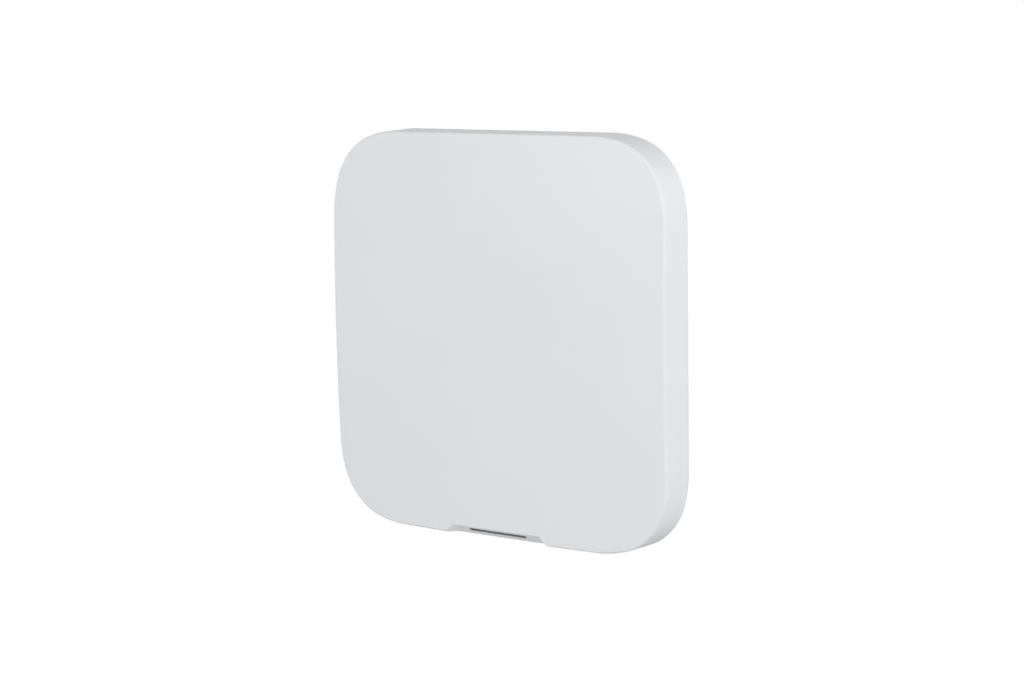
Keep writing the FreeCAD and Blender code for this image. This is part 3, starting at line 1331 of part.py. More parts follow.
# Mains inlet: an oblong port with two pins
place("inlet_depth", "board_back - inlet_port_middle")
place("inlet_end", "bay_top + inlet_port_depth")
place("oblong", "inlet_port_width / 2 - inlet_port_height / 2")
inlet_block = centred(
    "inlet_block", "inlet_x", "inlet_width", "board_back - inlet_height", "board_back",
    "bay_top + inlet_length / 2", "inlet_length")
inlet_tools = [block(
    "inlet_port", "inlet_x - oblong", "inlet_x + oblong", "inlet_depth - inlet_port_height / 2",
    "inlet_depth + inlet_port_height / 2", "bay_top - jack_wall", "inlet_end")]
for index, sign in enumerate(("-", "+")):
    inlet_tools.append(upright(
        "inlet_round_%d" % index, "inlet_x %s oblong" % sign, "inlet_depth",
        "bay_top - jack_wall", "inlet_end", "inlet_port_height / 2"))
node("power_inlet", cut_from("power_inlet", inlet_block, inlet_tools))
pins = []
for index, sign in enumerate(("-", "+")):
    pins.append(upright(
        "inlet_pin_%d" % index, "inlet_x %s inlet_pin_spacing / 2" % sign, "inlet_depth",
        "inlet_end - inlet_pin_length", "inlet_end", "inlet_pin_radius", PIN_SIDES))
node("inlet_pins", group("inlet_pins", pins))

# Card sockets and their pull-out trays
place("card_back", "board_back - card_socket_height")
place("tray_back", "card_back + tray_skin")
place("tray_front", "tray_back + tray_thick")
place("tray_end", "bay_top + tray_length")
for side in ("left", "right"):
    x = "card_%s_x" % side
    socket_block = centred(
        side + "_socket_block", x, "card_socket_width", "card_back", "board_back",
        "bay_top + card_socket_length / 2", "card_socket_length")
    socket_slot = block(
        side + "_socket_slot", x + " - tray_width / 2 - tray_clear", x + " + tray_width / 2 + tray_clear",
        "tray_back - tray_clear", "tray_front + tray_clear", "bay_top - tray_lip", "tray_end + tray_clear")
    socket = "card_socket_" + side
    node(socket, cut_from(socket, socket_block, [socket_slot]))
    tray_block = block(
        side + "_tray_block", x + " - tray_width / 2", x + " + tray_width / 2", "tray_back", "tray_front",
        "bay_top - tray_lip", "tray_end")
    card_seat = centred(
        side + "_card_seat", x, "card_width", "tray_back - tray_clear", "tray_front + tray_clear",
        "tray_end - card_length / 2 - 2 * tray_lip", "card_length")
    pull_lip = block(
        side + "_pull_lip", x + " - card_width / 2", x + " + card_width / 2",
        "tray_back - tray_lip", "tray_back", "bay_top - tray_lip", "bay_top - tray_clear")
    tray = "card_tray_" + side
    node(tray, cut_from(tray, fused(side + "_tray_outer", [tray_block, pull_lip]), [card_seat]))

# Power board parts, on its back between the board and the housing
place("coil_back", "board_back - transformer_height")
core = centred(
    "transformer_core", "transformer_x", "transformer_width", "coil_back", "board_back - bobbin_proud",
    "transformer_z", "transformer_tall - 2 * bobbin_proud")
winding = centred(
    "transformer_winding", "transformer_x", "transformer_width - 2 * bobbin_margin",
    "coil_back + bobbin_margin", "board_back", "transformer_z", "transformer_tall")
node("power_transformer", fused("power_transformer", [core, winding]))
large = upright(
    "large_capacitor", "capacitor_x", "board_back - capacitor_radius", "capacitor_low",
    "capacitor_low + capacitor_length", "capacitor_radius", CELL_SIDES)
small = rod(
    "small_capacitor", "filter_capacitor_x", "board_back - filter_capacitor_height", "board_back",
    "filter_capacitor_z", "filter_capacitor_radius", CELL_SIDES)
node("power_capacitors", group("power_capacitors", [large, small]))
node("line_choke", centred(
    "line_choke", "choke_x", "choke_width", "board_back - choke_height", "board_back",
    "choke_z", "choke_tall"))
place("fuse_depth", "board_back - fuse_cap_radius")
glass = level(
    "fuse_glass", "fuse_start", "fuse_start + fuse_length", "fuse_depth", "fuse_z", "fuse_radius", CELL_SIDES)
fuse_parts = [glass]
for index, start in enumerate(("fuse_start", "fuse_start + fuse_length - fuse_cap_length")):
    fuse_parts.append(level(
        "fuse_cap_%d" % index, start, start + " + fuse_cap_length",
        "fuse_depth", "fuse_z", "fuse_cap_radius", CELL_SIDES))
node("line_fuse", fused("line_fuse", fuse_parts))
node("insulation_sheet", block(
    "insulation_sheet", "split_right + sheet_margin", "sheet_right", "back_wall_inner",
    "back_wall_inner + sheet_thick", "power_low", "sheet_top"))

# Battery: two cells side by side, joined by strips at their ends and held by a clip
place("cell_half", "cell_length / 2")
place("cell_tip", "cell_half + cell_cap_height")
cells = []
for index, z in enumerate(("cell_low_z", "cell_high_z")):
    can = level(
        "cell_can_%d" % index, "-cell_half", "cell_half", "cell_middle", z, "cell_radius", CELL_SIDES)
    cap_start = "cell_half - seat_gap"
    cap = level(
        "cell_cap_%d" % index, cap_start, "cell_tip", "cell_middle", z, "cell_cap_radius", PIN_SIDES)
    cells.append(fused("cell_%d" % index, [can, cap]))
node("battery_cells", group("battery_cells", cells))
strips = []
for index, x in enumerate(("-cell_half - tab_metal", "cell_tip")):
    strips.append(block(
        "strip_%d" % index, x, x + " + tab_metal", "cell_middle - tab_metal_width / 2",
        "cell_middle + tab_metal_width / 2", "cell_low_z - cell_cap_radius", "cell_high_z + cell_cap_radius"))
node("battery_strips", group("battery_strips", strips))
clip_bar = block(
    "clip_bar", "clip_x - clip_width / 2", "clip_x + clip_width / 2", "clip_back", "clip_back + clip_thick",
    "clip_low_z - clip_post", "clip_high_z + clip_post")
clip_holes = []
for index, (x, z) in enumerate(clip_posts):
    clip_holes.append(rod(
        "clip_hole_%d" % index, x, "clip_back - clip_thick", "clip_back + 2 * clip_thick", z,
        "screw_radius + screw_gap", SCREW_SIDES))
node("battery_clip", cut_from("battery_clip", clip_bar, clip_holes))

# Screws
screws("housing_screws", cover_spots, "flange_back", "flange_front + screw_bite")
screws("main_board_screws", main_posts, "board_front", "board_back - screw_bite")
screws("power_board_screws", power_posts, "board_front", "board_back - screw_bite")
screws("clip_screws", clip_posts, "clip_back + clip_thick", "clip_back - screw_bite")

doc.recompute()
for thing in doc.Objects:
    if "Invalid" in thing.State or "Error" in thing.State:
        raise RuntimeError("%s was left %s" % (thing.Name, thing.State))
for thing in nodes:
    if thing.Shape.isNull() or not thing.Shape.isValid():
        raise RuntimeError("%s has no valid shape" % thing.Label)
os.makedirs("parts", exist_ok=True)
for thing in nodes:
    thing.Shape.exportStep("parts/%s.step" % thing.Label)
    print(thing.Label, len(thing.Shape.Solids), round(thing.Shape.Volume, 1))
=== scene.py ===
import bpy
import bmesh
import json
import math
import numpy as np
from mathutils import Matrix, Vector


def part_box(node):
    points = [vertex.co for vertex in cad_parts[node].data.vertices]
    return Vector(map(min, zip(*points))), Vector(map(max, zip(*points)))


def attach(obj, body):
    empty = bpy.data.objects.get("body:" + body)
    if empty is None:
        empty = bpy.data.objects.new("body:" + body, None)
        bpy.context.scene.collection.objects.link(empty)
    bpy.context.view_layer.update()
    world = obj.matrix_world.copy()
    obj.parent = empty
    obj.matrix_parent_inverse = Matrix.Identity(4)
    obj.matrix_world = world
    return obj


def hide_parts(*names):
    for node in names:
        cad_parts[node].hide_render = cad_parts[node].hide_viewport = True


# An alarm control panel: a white cover with soft corners and a scooped indicator recess,
# a shallow rear box with its sockets, and the bracket that it hangs on.
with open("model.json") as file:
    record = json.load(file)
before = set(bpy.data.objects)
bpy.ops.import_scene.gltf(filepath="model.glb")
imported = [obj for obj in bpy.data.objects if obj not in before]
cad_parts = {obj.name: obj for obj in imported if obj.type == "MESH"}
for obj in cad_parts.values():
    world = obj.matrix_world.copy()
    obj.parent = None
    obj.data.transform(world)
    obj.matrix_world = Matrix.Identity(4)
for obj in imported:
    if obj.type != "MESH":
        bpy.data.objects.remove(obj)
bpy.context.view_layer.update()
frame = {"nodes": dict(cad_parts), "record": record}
cadNodes = frame["nodes"]
bodyOf = {name: body for body, names in frame["record"]["behaviour"]["bodies"].items() for name in names}
slotOf = {part["node"]: part["material_slot"] for part in frame["record"]["subparts"]}
mm = 0.001
print("frame loaded:", len(cadNodes), "nodes")

# the photograph's view, in degrees and mm, with the focal length in pixels of a frame 1024 wide
cameraView = {
    "azimuth": 36.28,
    "elevation": 8.27,
    "roll": -0.99,
    "distance": 931.9,
    "across": -1.52,
    "upward": -2.92,
    "target": (0.0, -17.6, 0.0),
    "focalPixels": 2320.75,
    "frameWidth": 1024,
    "sensorWidth": 36.0,
    "nearest": 0.01,
    "farthest": 50.0,
}


def makeCamera(view):
    # back points from the object to the camera, and right and up are turned about it by the roll
    turn, lift, roll = (math.radians(view[key]) for key in ("azimuth", "elevation", "roll"))
    back = Vector((math.sin(turn) * math.cos(lift), -math.cos(turn) * math.cos(lift), math.sin(lift)))
    level = Vector((math.cos(turn), math.sin(turn), 0.0))
    above = back.cross(level)
    right = math.cos(roll) * level + math.sin(roll) * above
    up = -math.sin(roll) * level + math.cos(roll) * above
    spot = Vector(view["target"]) + back * view["distance"] + right * view["across"] + up * view["upward"]
    lens = bpy.data.cameras.new("photoCamera")
    lens.sensor_width = view["sensorWidth"]
    lens.lens = view["focalPixels"] * view["sensorWidth"] / view["frameWidth"]
    lens.clip_start = view["nearest"]
    lens.clip_end = view["farthest"]
    camera = bpy.data.objects.new("photoCamera", lens)
    bpy.context.scene.collection.objects.link(camera)
    stand = Matrix((right, up, back)).transposed().to_4x4()
    stand.translation = spot * mm
    camera.matrix_world = stand
    bpy.context.scene.camera = camera


makeCamera(cameraView)
print("camera placed")

# a pale room that is brighter near the horizon, a white floor, and two soft lamps, one from the right and
# one from behind
lightPlan = {
    "ceilingLevel": 0.065,
    "horizonRise": 2.51,
    "floorHeight": -0.25,
    "floorHalf": 8.0,
    "floorColour": (0.86, 0.86, 0.86),
    "floorLift": 0.6,
}
lamps = {
    "softRight": {"from": (0.75, -0.55, 0.52), "distance": 0.6, "side": 0.4, "power": 0.82},
    "softBehind": {"from": (-0.55, 0.78, 0.30), "distance": 1.6, "side": 1.0, "power": 0.53},
}


def nodeFor(tree, kind, **settings):
    # a new node: a setting is one of its attributes, or else the value of the socket of that name
    made = tree.nodes.new(kind)
    for key, setting in settings.items():
        if hasattr(made, key):
            setattr(made, key, setting)
        else:
            made.inputs[key.replace("_", " ")].default_value = setting
    return made


def makeRoom(plan):
    world = bpy.data.worlds.new("paleRoom")
    bpy.context.scene.world = world
    world.use_nodes = True
    tree = world.node_tree
    room = tree.nodes["Background"]
    room.inputs["Color"].default_value = (1.0, 1.0, 1.0, 1.0)
    # the light falls off from the horizon upward, as ceilingLevel + horizonRise * (1 - height) ^ 2, and
    # the room is plain white where it is seen directly, in gloss or through glass
    place = tree.nodes.new("ShaderNodeTexCoord")
    axes = tree.nodes.new("ShaderNodeSeparateXYZ")
    fall = nodeFor(tree, "ShaderNodeMapRange", From_Min=0.0, From_Max=1.0, To_Min=1.0, To_Max=0.0)
    square = nodeFor(tree, "ShaderNodeMath", operation="POWER")
    square.inputs[1].default_value = 2.0
    glow = nodeFor(tree, "ShaderNodeMath", operation="MULTIPLY_ADD")
    glow.inputs[1].default_value = plan["horizonRise"]
    glow.inputs[2].default_value = plan["ceilingLevel"]
    tree.links.new(place.outputs["Object"], axes.inputs[0])
    tree.links.new(axes.outputs["Z"], fall.inputs["Value"])
    tree.links.new(fall.outputs[0], square.inputs[0])
    tree.links.new(square.outputs[0], glow.inputs[0])
    path = tree.nodes.new("ShaderNodeLightPath")
    seen = nodeFor(tree, "ShaderNodeMath", operation="MAXIMUM")
    shown = nodeFor(tree, "ShaderNodeMath", operation="MAXIMUM")
    tree.links.new(path.outputs["Is Camera Ray"], seen.inputs[0])
    tree.links.new(path.outputs["Is Glossy Ray"], seen.inputs[1])
    tree.links.new(seen.outputs[0], shown.inputs[0])
    tree.links.new(path.outputs["Is Transmission Ray"], shown.inputs[1])
    level = nodeFor(tree, "ShaderNodeMix", data_type="FLOAT")
    level.inputs[3].default_value = 1.0
    tree.links.new(shown.outputs[0], level.inputs["Factor"])
    tree.links.new(glow.outputs[0], level.inputs[2])
    tree.links.new(level.outputs[0], room.inputs["Strength"])


def makeLamp(name, plan):
    # a square lamp that faces the origin: distance and side are in m, power in W
    toward = Vector(plan["from"]).normalized()
    glow = bpy.data.lights.new(name, "AREA")
    glow.shape = "SQUARE"
    glow.size = plan["side"]
    glow.energy = plan["power"]
    lamp = bpy.data.objects.new(name, glow)
    bpy.context.scene.collection.objects.link(lamp)
    lamp.matrix_world = toward.to_track_quat("Z", "Y").to_matrix().to_4x4()
    lamp.location = toward * plan["distance"]


def makeFloor(plan):
    half, height = plan["floorHalf"], plan["floorHeight"]
    sheet = bpy.data.meshes.new("floor")
    corners = [(-half, -half, height), (half, -half, height), (half, half, height), (-half, half, height)]
    sheet.from_pydata(corners, [], [(0, 1, 2, 3)])
    floor = bpy.data.objects.new("floor", sheet)
    bpy.context.scene.collection.objects.link(floor)
    paint = bpy.data.materials.new("floorPaint")
    paint.use_nodes = True
    tree = paint.node_tree
    tree.nodes.clear()
    matt = nodeFor(tree, "ShaderNodeBsdfDiffuse", Color=plan["floorColour"] + (1.0,))
    lift = nodeFor(tree, "ShaderNodeEmission", Color=(1.0, 1.0, 1.0, 1.0))
    path = tree.nodes.new("ShaderNodeLightPath")
    seen = nodeFor(tree, "ShaderNodeMath", operation="MULTIPLY")
    seen.inputs[1].default_value = plan["floorLift"]
    both = tree.nodes.new("ShaderNodeAddShader")
    # the underside lets a view from below through
    side = tree.nodes.new("ShaderNodeNewGeometry")
    clear = tree.nodes.new("ShaderNodeBsdfTransparent")
    choice = tree.nodes.new("ShaderNodeMixShader")
    end = tree.nodes.new("ShaderNodeOutputMaterial")
    tree.links.new(path.outputs["Is Camera Ray"], seen.inputs[0])
    tree.links.new(seen.outputs[0], lift.inputs["Strength"])
    tree.links.new(matt.outputs[0], both.inputs[0])
    tree.links.new(lift.outputs[0], both.inputs[1])
    tree.links.new(side.outputs["Backfacing"], choice.inputs[0])
    tree.links.new(both.outputs[0], choice.inputs[1])
    tree.links.new(clear.outputs[0], choice.inputs[2])
    tree.links.new(choice.outputs[0], end.inputs["Surface"])
    sheet.materials.append(paint)


makeRoom(lightPlan)
for lampName, lampPlan in lamps.items():
    makeLamp(lampName, lampPlan)
makeFloor(lightPlan)
bpy.context.scene.view_settings.view_transform = "Standard"
print("room lit")

# moulded finishes: grain and patch are the sizes of a pattern's spots in mm, and depth is how far it
# stands up in mm
finishes = {
    "white_shell": {
        "colour": (0.806, 0.811, 0.830), "shade": (0.797, 0.802, 0.823),
        "roughness": 0.52, "patch": 45.0, "grain": 0.35, "depth": 0.004, "shine": 0.12},
    "bracket_plastic": {
        "colour": (0.760, 0.768, 0.772), "shade": (0.735, 0.745, 0.750),
        "roughness": 0.62, "patch": 30.0, "grain": 0.50, "depth": 0.018},
    "white_moulding": {
        "colour": (0.800, 0.795, 0.770), "shade": (0.770, 0.765, 0.740),
        "roughness": 0.50, "patch": 6.0, "grain": 0.30, "depth": 0.006},
    "dark_plastic": {
        "colour": (0.022, 0.022, 0.025), "shade": (0.032, 0.032, 0.036),
        "roughness": 0.48, "patch": 5.0, "grain": 0.25, "depth": 0.010},
    "grey_plastic": {
        "colour": (0.500, 0.510, 0.520), "shade": (0.465, 0.475, 0.488),
        "roughness": 0.52, "patch": 8.0, "grain": 0.30, "depth": 0.010},
    "capacitor_sleeve": {
        "colour": (0.040, 0.048, 0.075), "shade": (0.055, 0.062, 0.090),
        "roughness": 0.28, "patch": 7.0, "grain": 1.20, "depth": 0.008},
    "cell_sleeve": {
        "colour": (0.060, 0.230, 0.400), "shade": (0.075, 0.255, 0.430),
        "roughness": 0.27, "patch": 12.0, "grain": 1.50, "depth": 0.010},
    "insulation_film": {
        "colour": (0.780, 0.780, 0.740), "shade": (0.740, 0.740, 0.700),
        "roughness": 0.33, "patch": 9.0, "grain": 2.50, "depth": 0.015},
}
mouldedWander = 0.03

# metals: stretch is small along the way that the streaks run
metals = {
    "spring_steel": {"colour": (0.60, 0.60, 0.61), "roughness": 0.28, "grain": 0.4,
                     "stretch": (1.0, 1.0, 1.0)},
    "tin_plate": {"colour": (0.66, 0.66, 0.64), "roughness": 0.34, "grain": 0.5,
                  "stretch": (0.08, 1.0, 1.0)},
    "cell_steel": {"colour": (0.64, 0.64, 0.62), "roughness": 0.30, "grain": 0.6,
                   "stretch": (0.10, 1.0, 1.0)},
    "zinc_screws": {"colour": (0.60, 0.61, 0.62), "roughness": 0.33, "grain": 0.3,
                    "stretch": (1.0, 0.3, 1.0)},
    "contact_gold": {"colour": (0.78, 0.58, 0.24), "roughness": 0.25, "grain": 0.3,
                     "stretch": (1.0, 0.2, 1.0)},
    "anodised_metal": {"colour": (0.055, 0.055, 0.060), "roughness": 0.42, "grain": 0.4,
                       "stretch": (1.0, 1.0, 0.1)},
}
metalStreaks = {"dull": 0.86, "below": 0.06, "above": 0.08, "depth": 0.003}


def startFinish(name):
    material = bpy.data.materials.new(name)
    material.use_nodes = True
    tree = material.node_tree
    shader = tree.nodes["Principled BSDF"]
    place = tree.nodes.new("ShaderNodeTexCoord")
    return material, tree, shader, place


def spots(tree, place, size, detail=2.0, stretch=(1.0, 1.0, 1.0)):
    # noise whose spots are about this size in mm, longer along an axis where stretch is small
    turned = nodeFor(tree, "ShaderNodeMapping")
    turned.inputs["Scale"].default_value = stretch
    noise = nodeFor(tree, "ShaderNodeTexNoise", Scale=1.0 / (size * mm), Detail=detail)
    tree.links.new(place.outputs["Object"], turned.inputs["Vector"])
    tree.links.new(turned.outputs["Vector"], noise.inputs["Vector"])
    return noise.outputs["Fac"]


def spread(tree, amount, low, high, start=0.35, end=0.65):
    # carries a pattern's middle range over to the range from low to high
    made = nodeFor(tree, "ShaderNodeMapRange")
    made.inputs["From Min"].default_value = start
    made.inputs["From Max"].default_value = end
    made.inputs["To Min"].default_value = low
    made.inputs["To Max"].default_value = high
    tree.links.new(amount, made.inputs["Value"])
    return made.outputs["Result"]


def tint(tree, amount, first, second):
    blend = nodeFor(tree, "ShaderNodeMix", data_type="RGBA")
    for socket, colour in ((blend.inputs[6], first), (blend.inputs[7], second)):
        if isinstance(colour, tuple):
            socket.default_value = colour + (1.0,)
        else:
            tree.links.new(colour, socket)
    tree.links.new(amount, blend.inputs["Factor"])
    return blend.outputs[2]


def setColour(tree, amount, shader, first, second):
    tree.links.new(tint(tree, amount, first, second), shader.inputs["Base Color"])


def setGloss(tree, amount, shader, roughness, below, above):
    # the roughness follows the pattern, from this much below its middle to this much above it
    tree.links.new(spread(tree, amount, roughness - below, roughness + above), shader.inputs["Roughness"])


def standUp(tree, amount, shader, depth):
    bump = nodeFor(tree, "ShaderNodeBump", Strength=1.0, Distance=depth * mm)
    tree.links.new(amount, bump.inputs["Height"])
    tree.links.new(bump.outputs["Normal"], shader.inputs["Normal"])


def mouldedPlastic(name, look):
    # faint broad patches of two near colours, a little wander in the gloss, and the mould's fine grain
    material, tree, shader, place = startFinish(name)
    patches = spread(tree, spots(tree, place, look["patch"]), 0.0, 1.0)
    setColour(tree, patches, shader, look["colour"], look["shade"])
    wander = spots(tree, place, look["patch"] / 6, 3.0)
    setGloss(tree, wander, shader, look["roughness"], mouldedWander, mouldedWander)
    standUp(tree, spots(tree, place, look["grain"], 1.5), shader, look["depth"])
    shader.inputs["Specular IOR Level"].default_value = look.get("shine", 0.4)
    return material


def drawnMetal(name, look):
    # streaks along the way the sheet or wire was drawn, in the gloss and as fine lines
    material, tree, shader, place = startFinish(name)
    shader.inputs["Metallic"].default_value = 1.0
    streaks = spots(tree, place, look["grain"], 3.0, look["stretch"])
    dull = tuple(metalStreaks["dull"] * part for part in look["colour"])
    setColour(tree, spread(tree, streaks, 0.0, 1.0), shader, look["colour"], dull)
    setGloss(tree, streaks, shader, look["roughness"], metalStreaks["below"], metalStreaks["above"])
    standUp(tree, streaks, shader, metalStreaks["depth"])
    return material


def bandScale(period):
    # a wave texture turns by 20 radians in one unit at scale 1, and the period is in mm
    return 2 * math.pi / (20 * period * mm)


# each edge is the range of a pattern over which it turns on
boardLook = {
    "mask": (0.012, 0.105, 0.042), "track": (0.030, 0.190, 0.080), "pad": (0.62, 0.62, 0.58),
    "trackPitch": 1.6, "trackEdge": (0.62, 0.72), "fieldSize": 11.0, "turnEdge": (0.49, 0.51),
    "emptyEdge": (0.55, 0.56), "viaPitch": 5.2, "viaEdge": (0.09, 0.11),
    "roughness": 0.30, "cloud": 6.0, "below": 0.04, "above": 0.05, "depth": 0.020,
}


def circuitMask(name, look):
    # fields of straight tracks that run across or up, under a green mask, with small bright pads
    material, tree, shader, place = startFinish(name)
    lanes = []
    for direction in ("X", "Z"):
        wave = nodeFor(tree, "ShaderNodeTexWave", wave_type="BANDS", bands_direction=direction,
                       Scale=bandScale(look["trackPitch"]))
        tree.links.new(place.outputs["Object"], wave.inputs["Vector"])
        lanes.append(spread(tree, wave.outputs["Fac"], 0.0, 1.0, *look["trackEdge"]))
    fields = nodeFor(tree, "ShaderNodeTexVoronoi", distance="CHEBYCHEV",
                     Scale=1.0 / (look["fieldSize"] * mm))
    tree.links.new(place.outputs["Object"], fields.inputs["Vector"])
    parts = nodeFor(tree, "ShaderNodeSeparateColor")
    tree.links.new(fields.outputs["Color"], parts.inputs["Color"])
    pick = spread(tree, parts.outputs["Red"], 0.0, 1.0, *look["turnEdge"])
    filled = spread(tree, parts.outputs["Green"], 0.0, 1.0, *look["emptyEdge"])
    lane = nodeFor(tree, "ShaderNodeMix", data_type="FLOAT")
    tree.links.new(pick, lane.inputs["Factor"])
    tree.links.new(lanes[0], lane.inputs[2])
    tree.links.new(lanes[1], lane.inputs[3])
    shown = nodeFor(tree, "ShaderNodeMath", operation="MULTIPLY")
    tree.links.new(lane.outputs[0], shown.inputs[0])
    tree.links.new(filled, shown.inputs[1])
    mask = tint(tree, shown.outputs[0], look["mask"], look["track"])
    dots = nodeFor(tree, "ShaderNodeTexVoronoi", Scale=1.0 / (look["viaPitch"] * mm))
    tree.links.new(place.outputs["Object"], dots.inputs["Vector"])
    pads = spread(tree, dots.outputs["Distance"], 1.0, 0.0, *look["viaEdge"])
    setColour(tree, pads, shader, mask, look["pad"])
    cloud = spots(tree, place, look["cloud"])
    setGloss(tree, cloud, shader, look["roughness"], look["below"], look["above"])
    standUp(tree, shown.outputs[0], shader, look["depth"])
    return material


lensLook = {
    "colour": (0.076, 0.078, 0.081), "shade": (0.064, 0.066, 0.069), "cloud": 5.0,
    "roughness": 0.36, "wander": 0.03, "patch": 2.0, "cells": 1.2, "depth": 0.008,
    "coat": 0.15, "coatRoughness": 0.20,
}


def smokedLens(name, look):
    # dark tinted plastic with a faint cell pattern that spreads the lights behind it
    material, tree, shader, place = startFinish(name)
    cloud = spread(tree, spots(tree, place, look["cloud"]), 0.0, 1.0)
    setColour(tree, cloud, shader, look["colour"], look["shade"])
    patches = spots(tree, place, look["patch"])
    setGloss(tree, patches, shader, look["roughness"], look["wander"], look["wander"])
    cells = nodeFor(tree, "ShaderNodeTexVoronoi", feature="SMOOTH_F1", Scale=1.0 / (look["cells"] * mm))
    tree.links.new(place.outputs["Object"], cells.inputs["Vector"])
    standUp(tree, cells.outputs["Distance"], shader, look["depth"])
    shader.inputs["Coat Weight"].default_value = look["coat"]
    shader.inputs["Coat Roughness"].default_value = look["coatRoughness"]
    return material


clearLooks = {
    "clear_plastic": {"colour": (0.90, 0.93, 0.93), "bend": 1.49, "roughness": 0.08},
    "fuse_glass": {"colour": (0.92, 0.96, 0.95), "bend": 1.52, "roughness": 0.03},
}
clearStock = {"clearness": 0.85, "flow": 4.0, "stretch": (0.2, 1.0, 1.0), "pale": 0.95, "wander": 0.05,
              "depth": 0.006}


def clearMoulding(name, look):
    # clear stock with slight flow lines in its surface
    material, tree, shader, place = startFinish(name)
    shader.inputs["Transmission Weight"].default_value = clearStock["clearness"]
    shader.inputs["IOR"].default_value = look["bend"]
    flow = spots(tree, place, clearStock["flow"], stretch=clearStock["stretch"])
    pale = tuple(clearStock["pale"] * part for part in look["colour"])
    setColour(tree, spread(tree, flow, 0.0, 1.0), shader, look["colour"], pale)
    setGloss(tree, flow, shader, look["roughness"], 0.0, clearStock["wander"])
    standUp(tree, flow, shader, clearStock["depth"])
    return material


filmLook = {
    "copper": (0.70, 0.33, 0.16), "film": (0.55, 0.27, 0.10), "metallic": 0.85, "band": 1.4,
    "edge": (0.30, 0.40), "roughness": 0.30, "cloud": 3.0, "wander": 0.05, "depth": 0.015,
}


def copperFilm(name, look):
    # copper tracks under an amber film, in even bands
    material, tree, shader, place = startFinish(name)
    wave = nodeFor(tree, "ShaderNodeTexWave", wave_type="BANDS", bands_direction="DIAGONAL",
                   Scale=bandScale(look["band"]))
    tree.links.new(place.outputs["Object"], wave.inputs["Vector"])
    bands = spread(tree, wave.outputs["Fac"], 0.0, 1.0, *look["edge"])
    setColour(tree, bands, shader, look["film"], look["copper"])
    tree.links.new(spread(tree, bands, 0.0, look["metallic"], 0.0, 1.0), shader.inputs["Metallic"])
    cloud = spots(tree, place, look["cloud"])
    setGloss(tree, cloud, shader, look["roughness"], look["wander"], look["wander"])
    standUp(tree, bands, shader, look["depth"])
    return material


windingLook = {
    "tape": (0.62, 0.44, 0.05), "seam": (0.42, 0.29, 0.03), "layer": 2.6, "edge": (0.04, 0.10),
    "roughness": 0.40, "cloud": 2.0, "wander": 0.06, "depth": 0.05,
}


def windingTape(name, look):
    # yellow tape in overlapping turns, darker at each seam
    material, tree, shader, place = startFinish(name)
    wave = nodeFor(tree, "ShaderNodeTexWave", wave_type="BANDS", bands_direction="Z", wave_profile="SAW",
                   Scale=bandScale(look["layer"]))
    tree.links.new(place.outputs["Object"], wave.inputs["Vector"])
    seams = spread(tree, wave.outputs["Fac"], 1.0, 0.0, *look["edge"])
    setColour(tree, seams, shader, look["tape"], look["seam"])
    cloud = spots(tree, place, look["cloud"])
    setGloss(tree, cloud, shader, look["roughness"], look["wander"], look["wander"])
    standUp(tree, wave.outputs["Fac"], shader, look["depth"])
    return material


paints = {name: mouldedPlastic(name, look) for name, look in finishes.items()}
paints.update({name: drawnMetal(name, look) for name, look in metals.items()})
paints.update({name: clearMoulding(name, look) for name, look in clearLooks.items()})
paints["circuit_board"] = circuitMask("circuit_board", boardLook)
powerLook = dict(boardLook, mask=(0.016, 0.090, 0.052), trackPitch=2.8, fieldSize=16.0, viaPitch=7.5)
paints["power_circuit_board"] = circuitMask("power_circuit_board", powerLook)
paints["indicator_lens"] = smokedLens("indicator_lens", lensLook)
paints["antenna_film"] = copperFilm("antenna_film", filmLook)
paints["winding_tape"] = windingTape("winding_tape", windingLook)
print("finishes made:", len(paints))

pointMerge = 1e-7  # m within which two points of a made piece are one
cadMerge = 2e-6  # the same for a CAD piece
flatTurn = 0.5  # degrees under which neighbouring CAD faces are one
softTurn = 32.0  # degrees above which a CAD edge is sharp and is softened


def addSkin(name, points, faces, node, sharp):
    # a mesh with its faces outward, smooth except where it turns more than the sharp angle
    skin = bpy.data.meshes.new(name)
    skin.from_pydata((points * mm).tolist(), [], faces)
    skin.update()
    form = bmesh.new()
    form.from_mesh(skin)
    bmesh.ops.remove_doubles(form, verts=form.verts, dist=pointMerge)
    bmesh.ops.recalc_face_normals(form, faces=form.faces)
    form.to_mesh(skin)
    form.free()
    finishPiece(name, skin, node, sharp)


def finishPiece(name, skin, node, sharp):
    skin.polygons.foreach_set("use_smooth", np.ones(len(skin.polygons), bool))
    skin.set_sharp_from_angle(angle=math.radians(sharp))
    skin.materials.clear()
    skin.materials.append(paints[slotOf[node]])
    piece = bpy.data.objects.new(name, skin)
    bpy.context.scene.collection.objects.link(piece)
    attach(piece, bodyOf[node])
    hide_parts(node)
    return piece


def ringFaces(rows, columns):
    # quads between neighbouring rows that close round, and a fan at either end: after the rows come two
    # points, the middle of the first row and the middle of the last
    spot = np.arange(rows * columns).reshape(rows, columns)
    nextSpot = np.roll(spot, -1, axis=1)
    quads = np.stack((spot[:-1], nextSpot[:-1], nextSpot[1:], spot[1:]), axis=-1).reshape(-1, 4)
    middle = np.full(columns, rows * columns)
    firstFan = np.stack((middle, nextSpot[0], spot[0]), axis=-1)
    lastFan = np.stack((middle + 1, spot[-1], nextSpot[-1]), axis=-1)
    return quads.tolist() + firstFan.tolist() + lastFan.tolist()


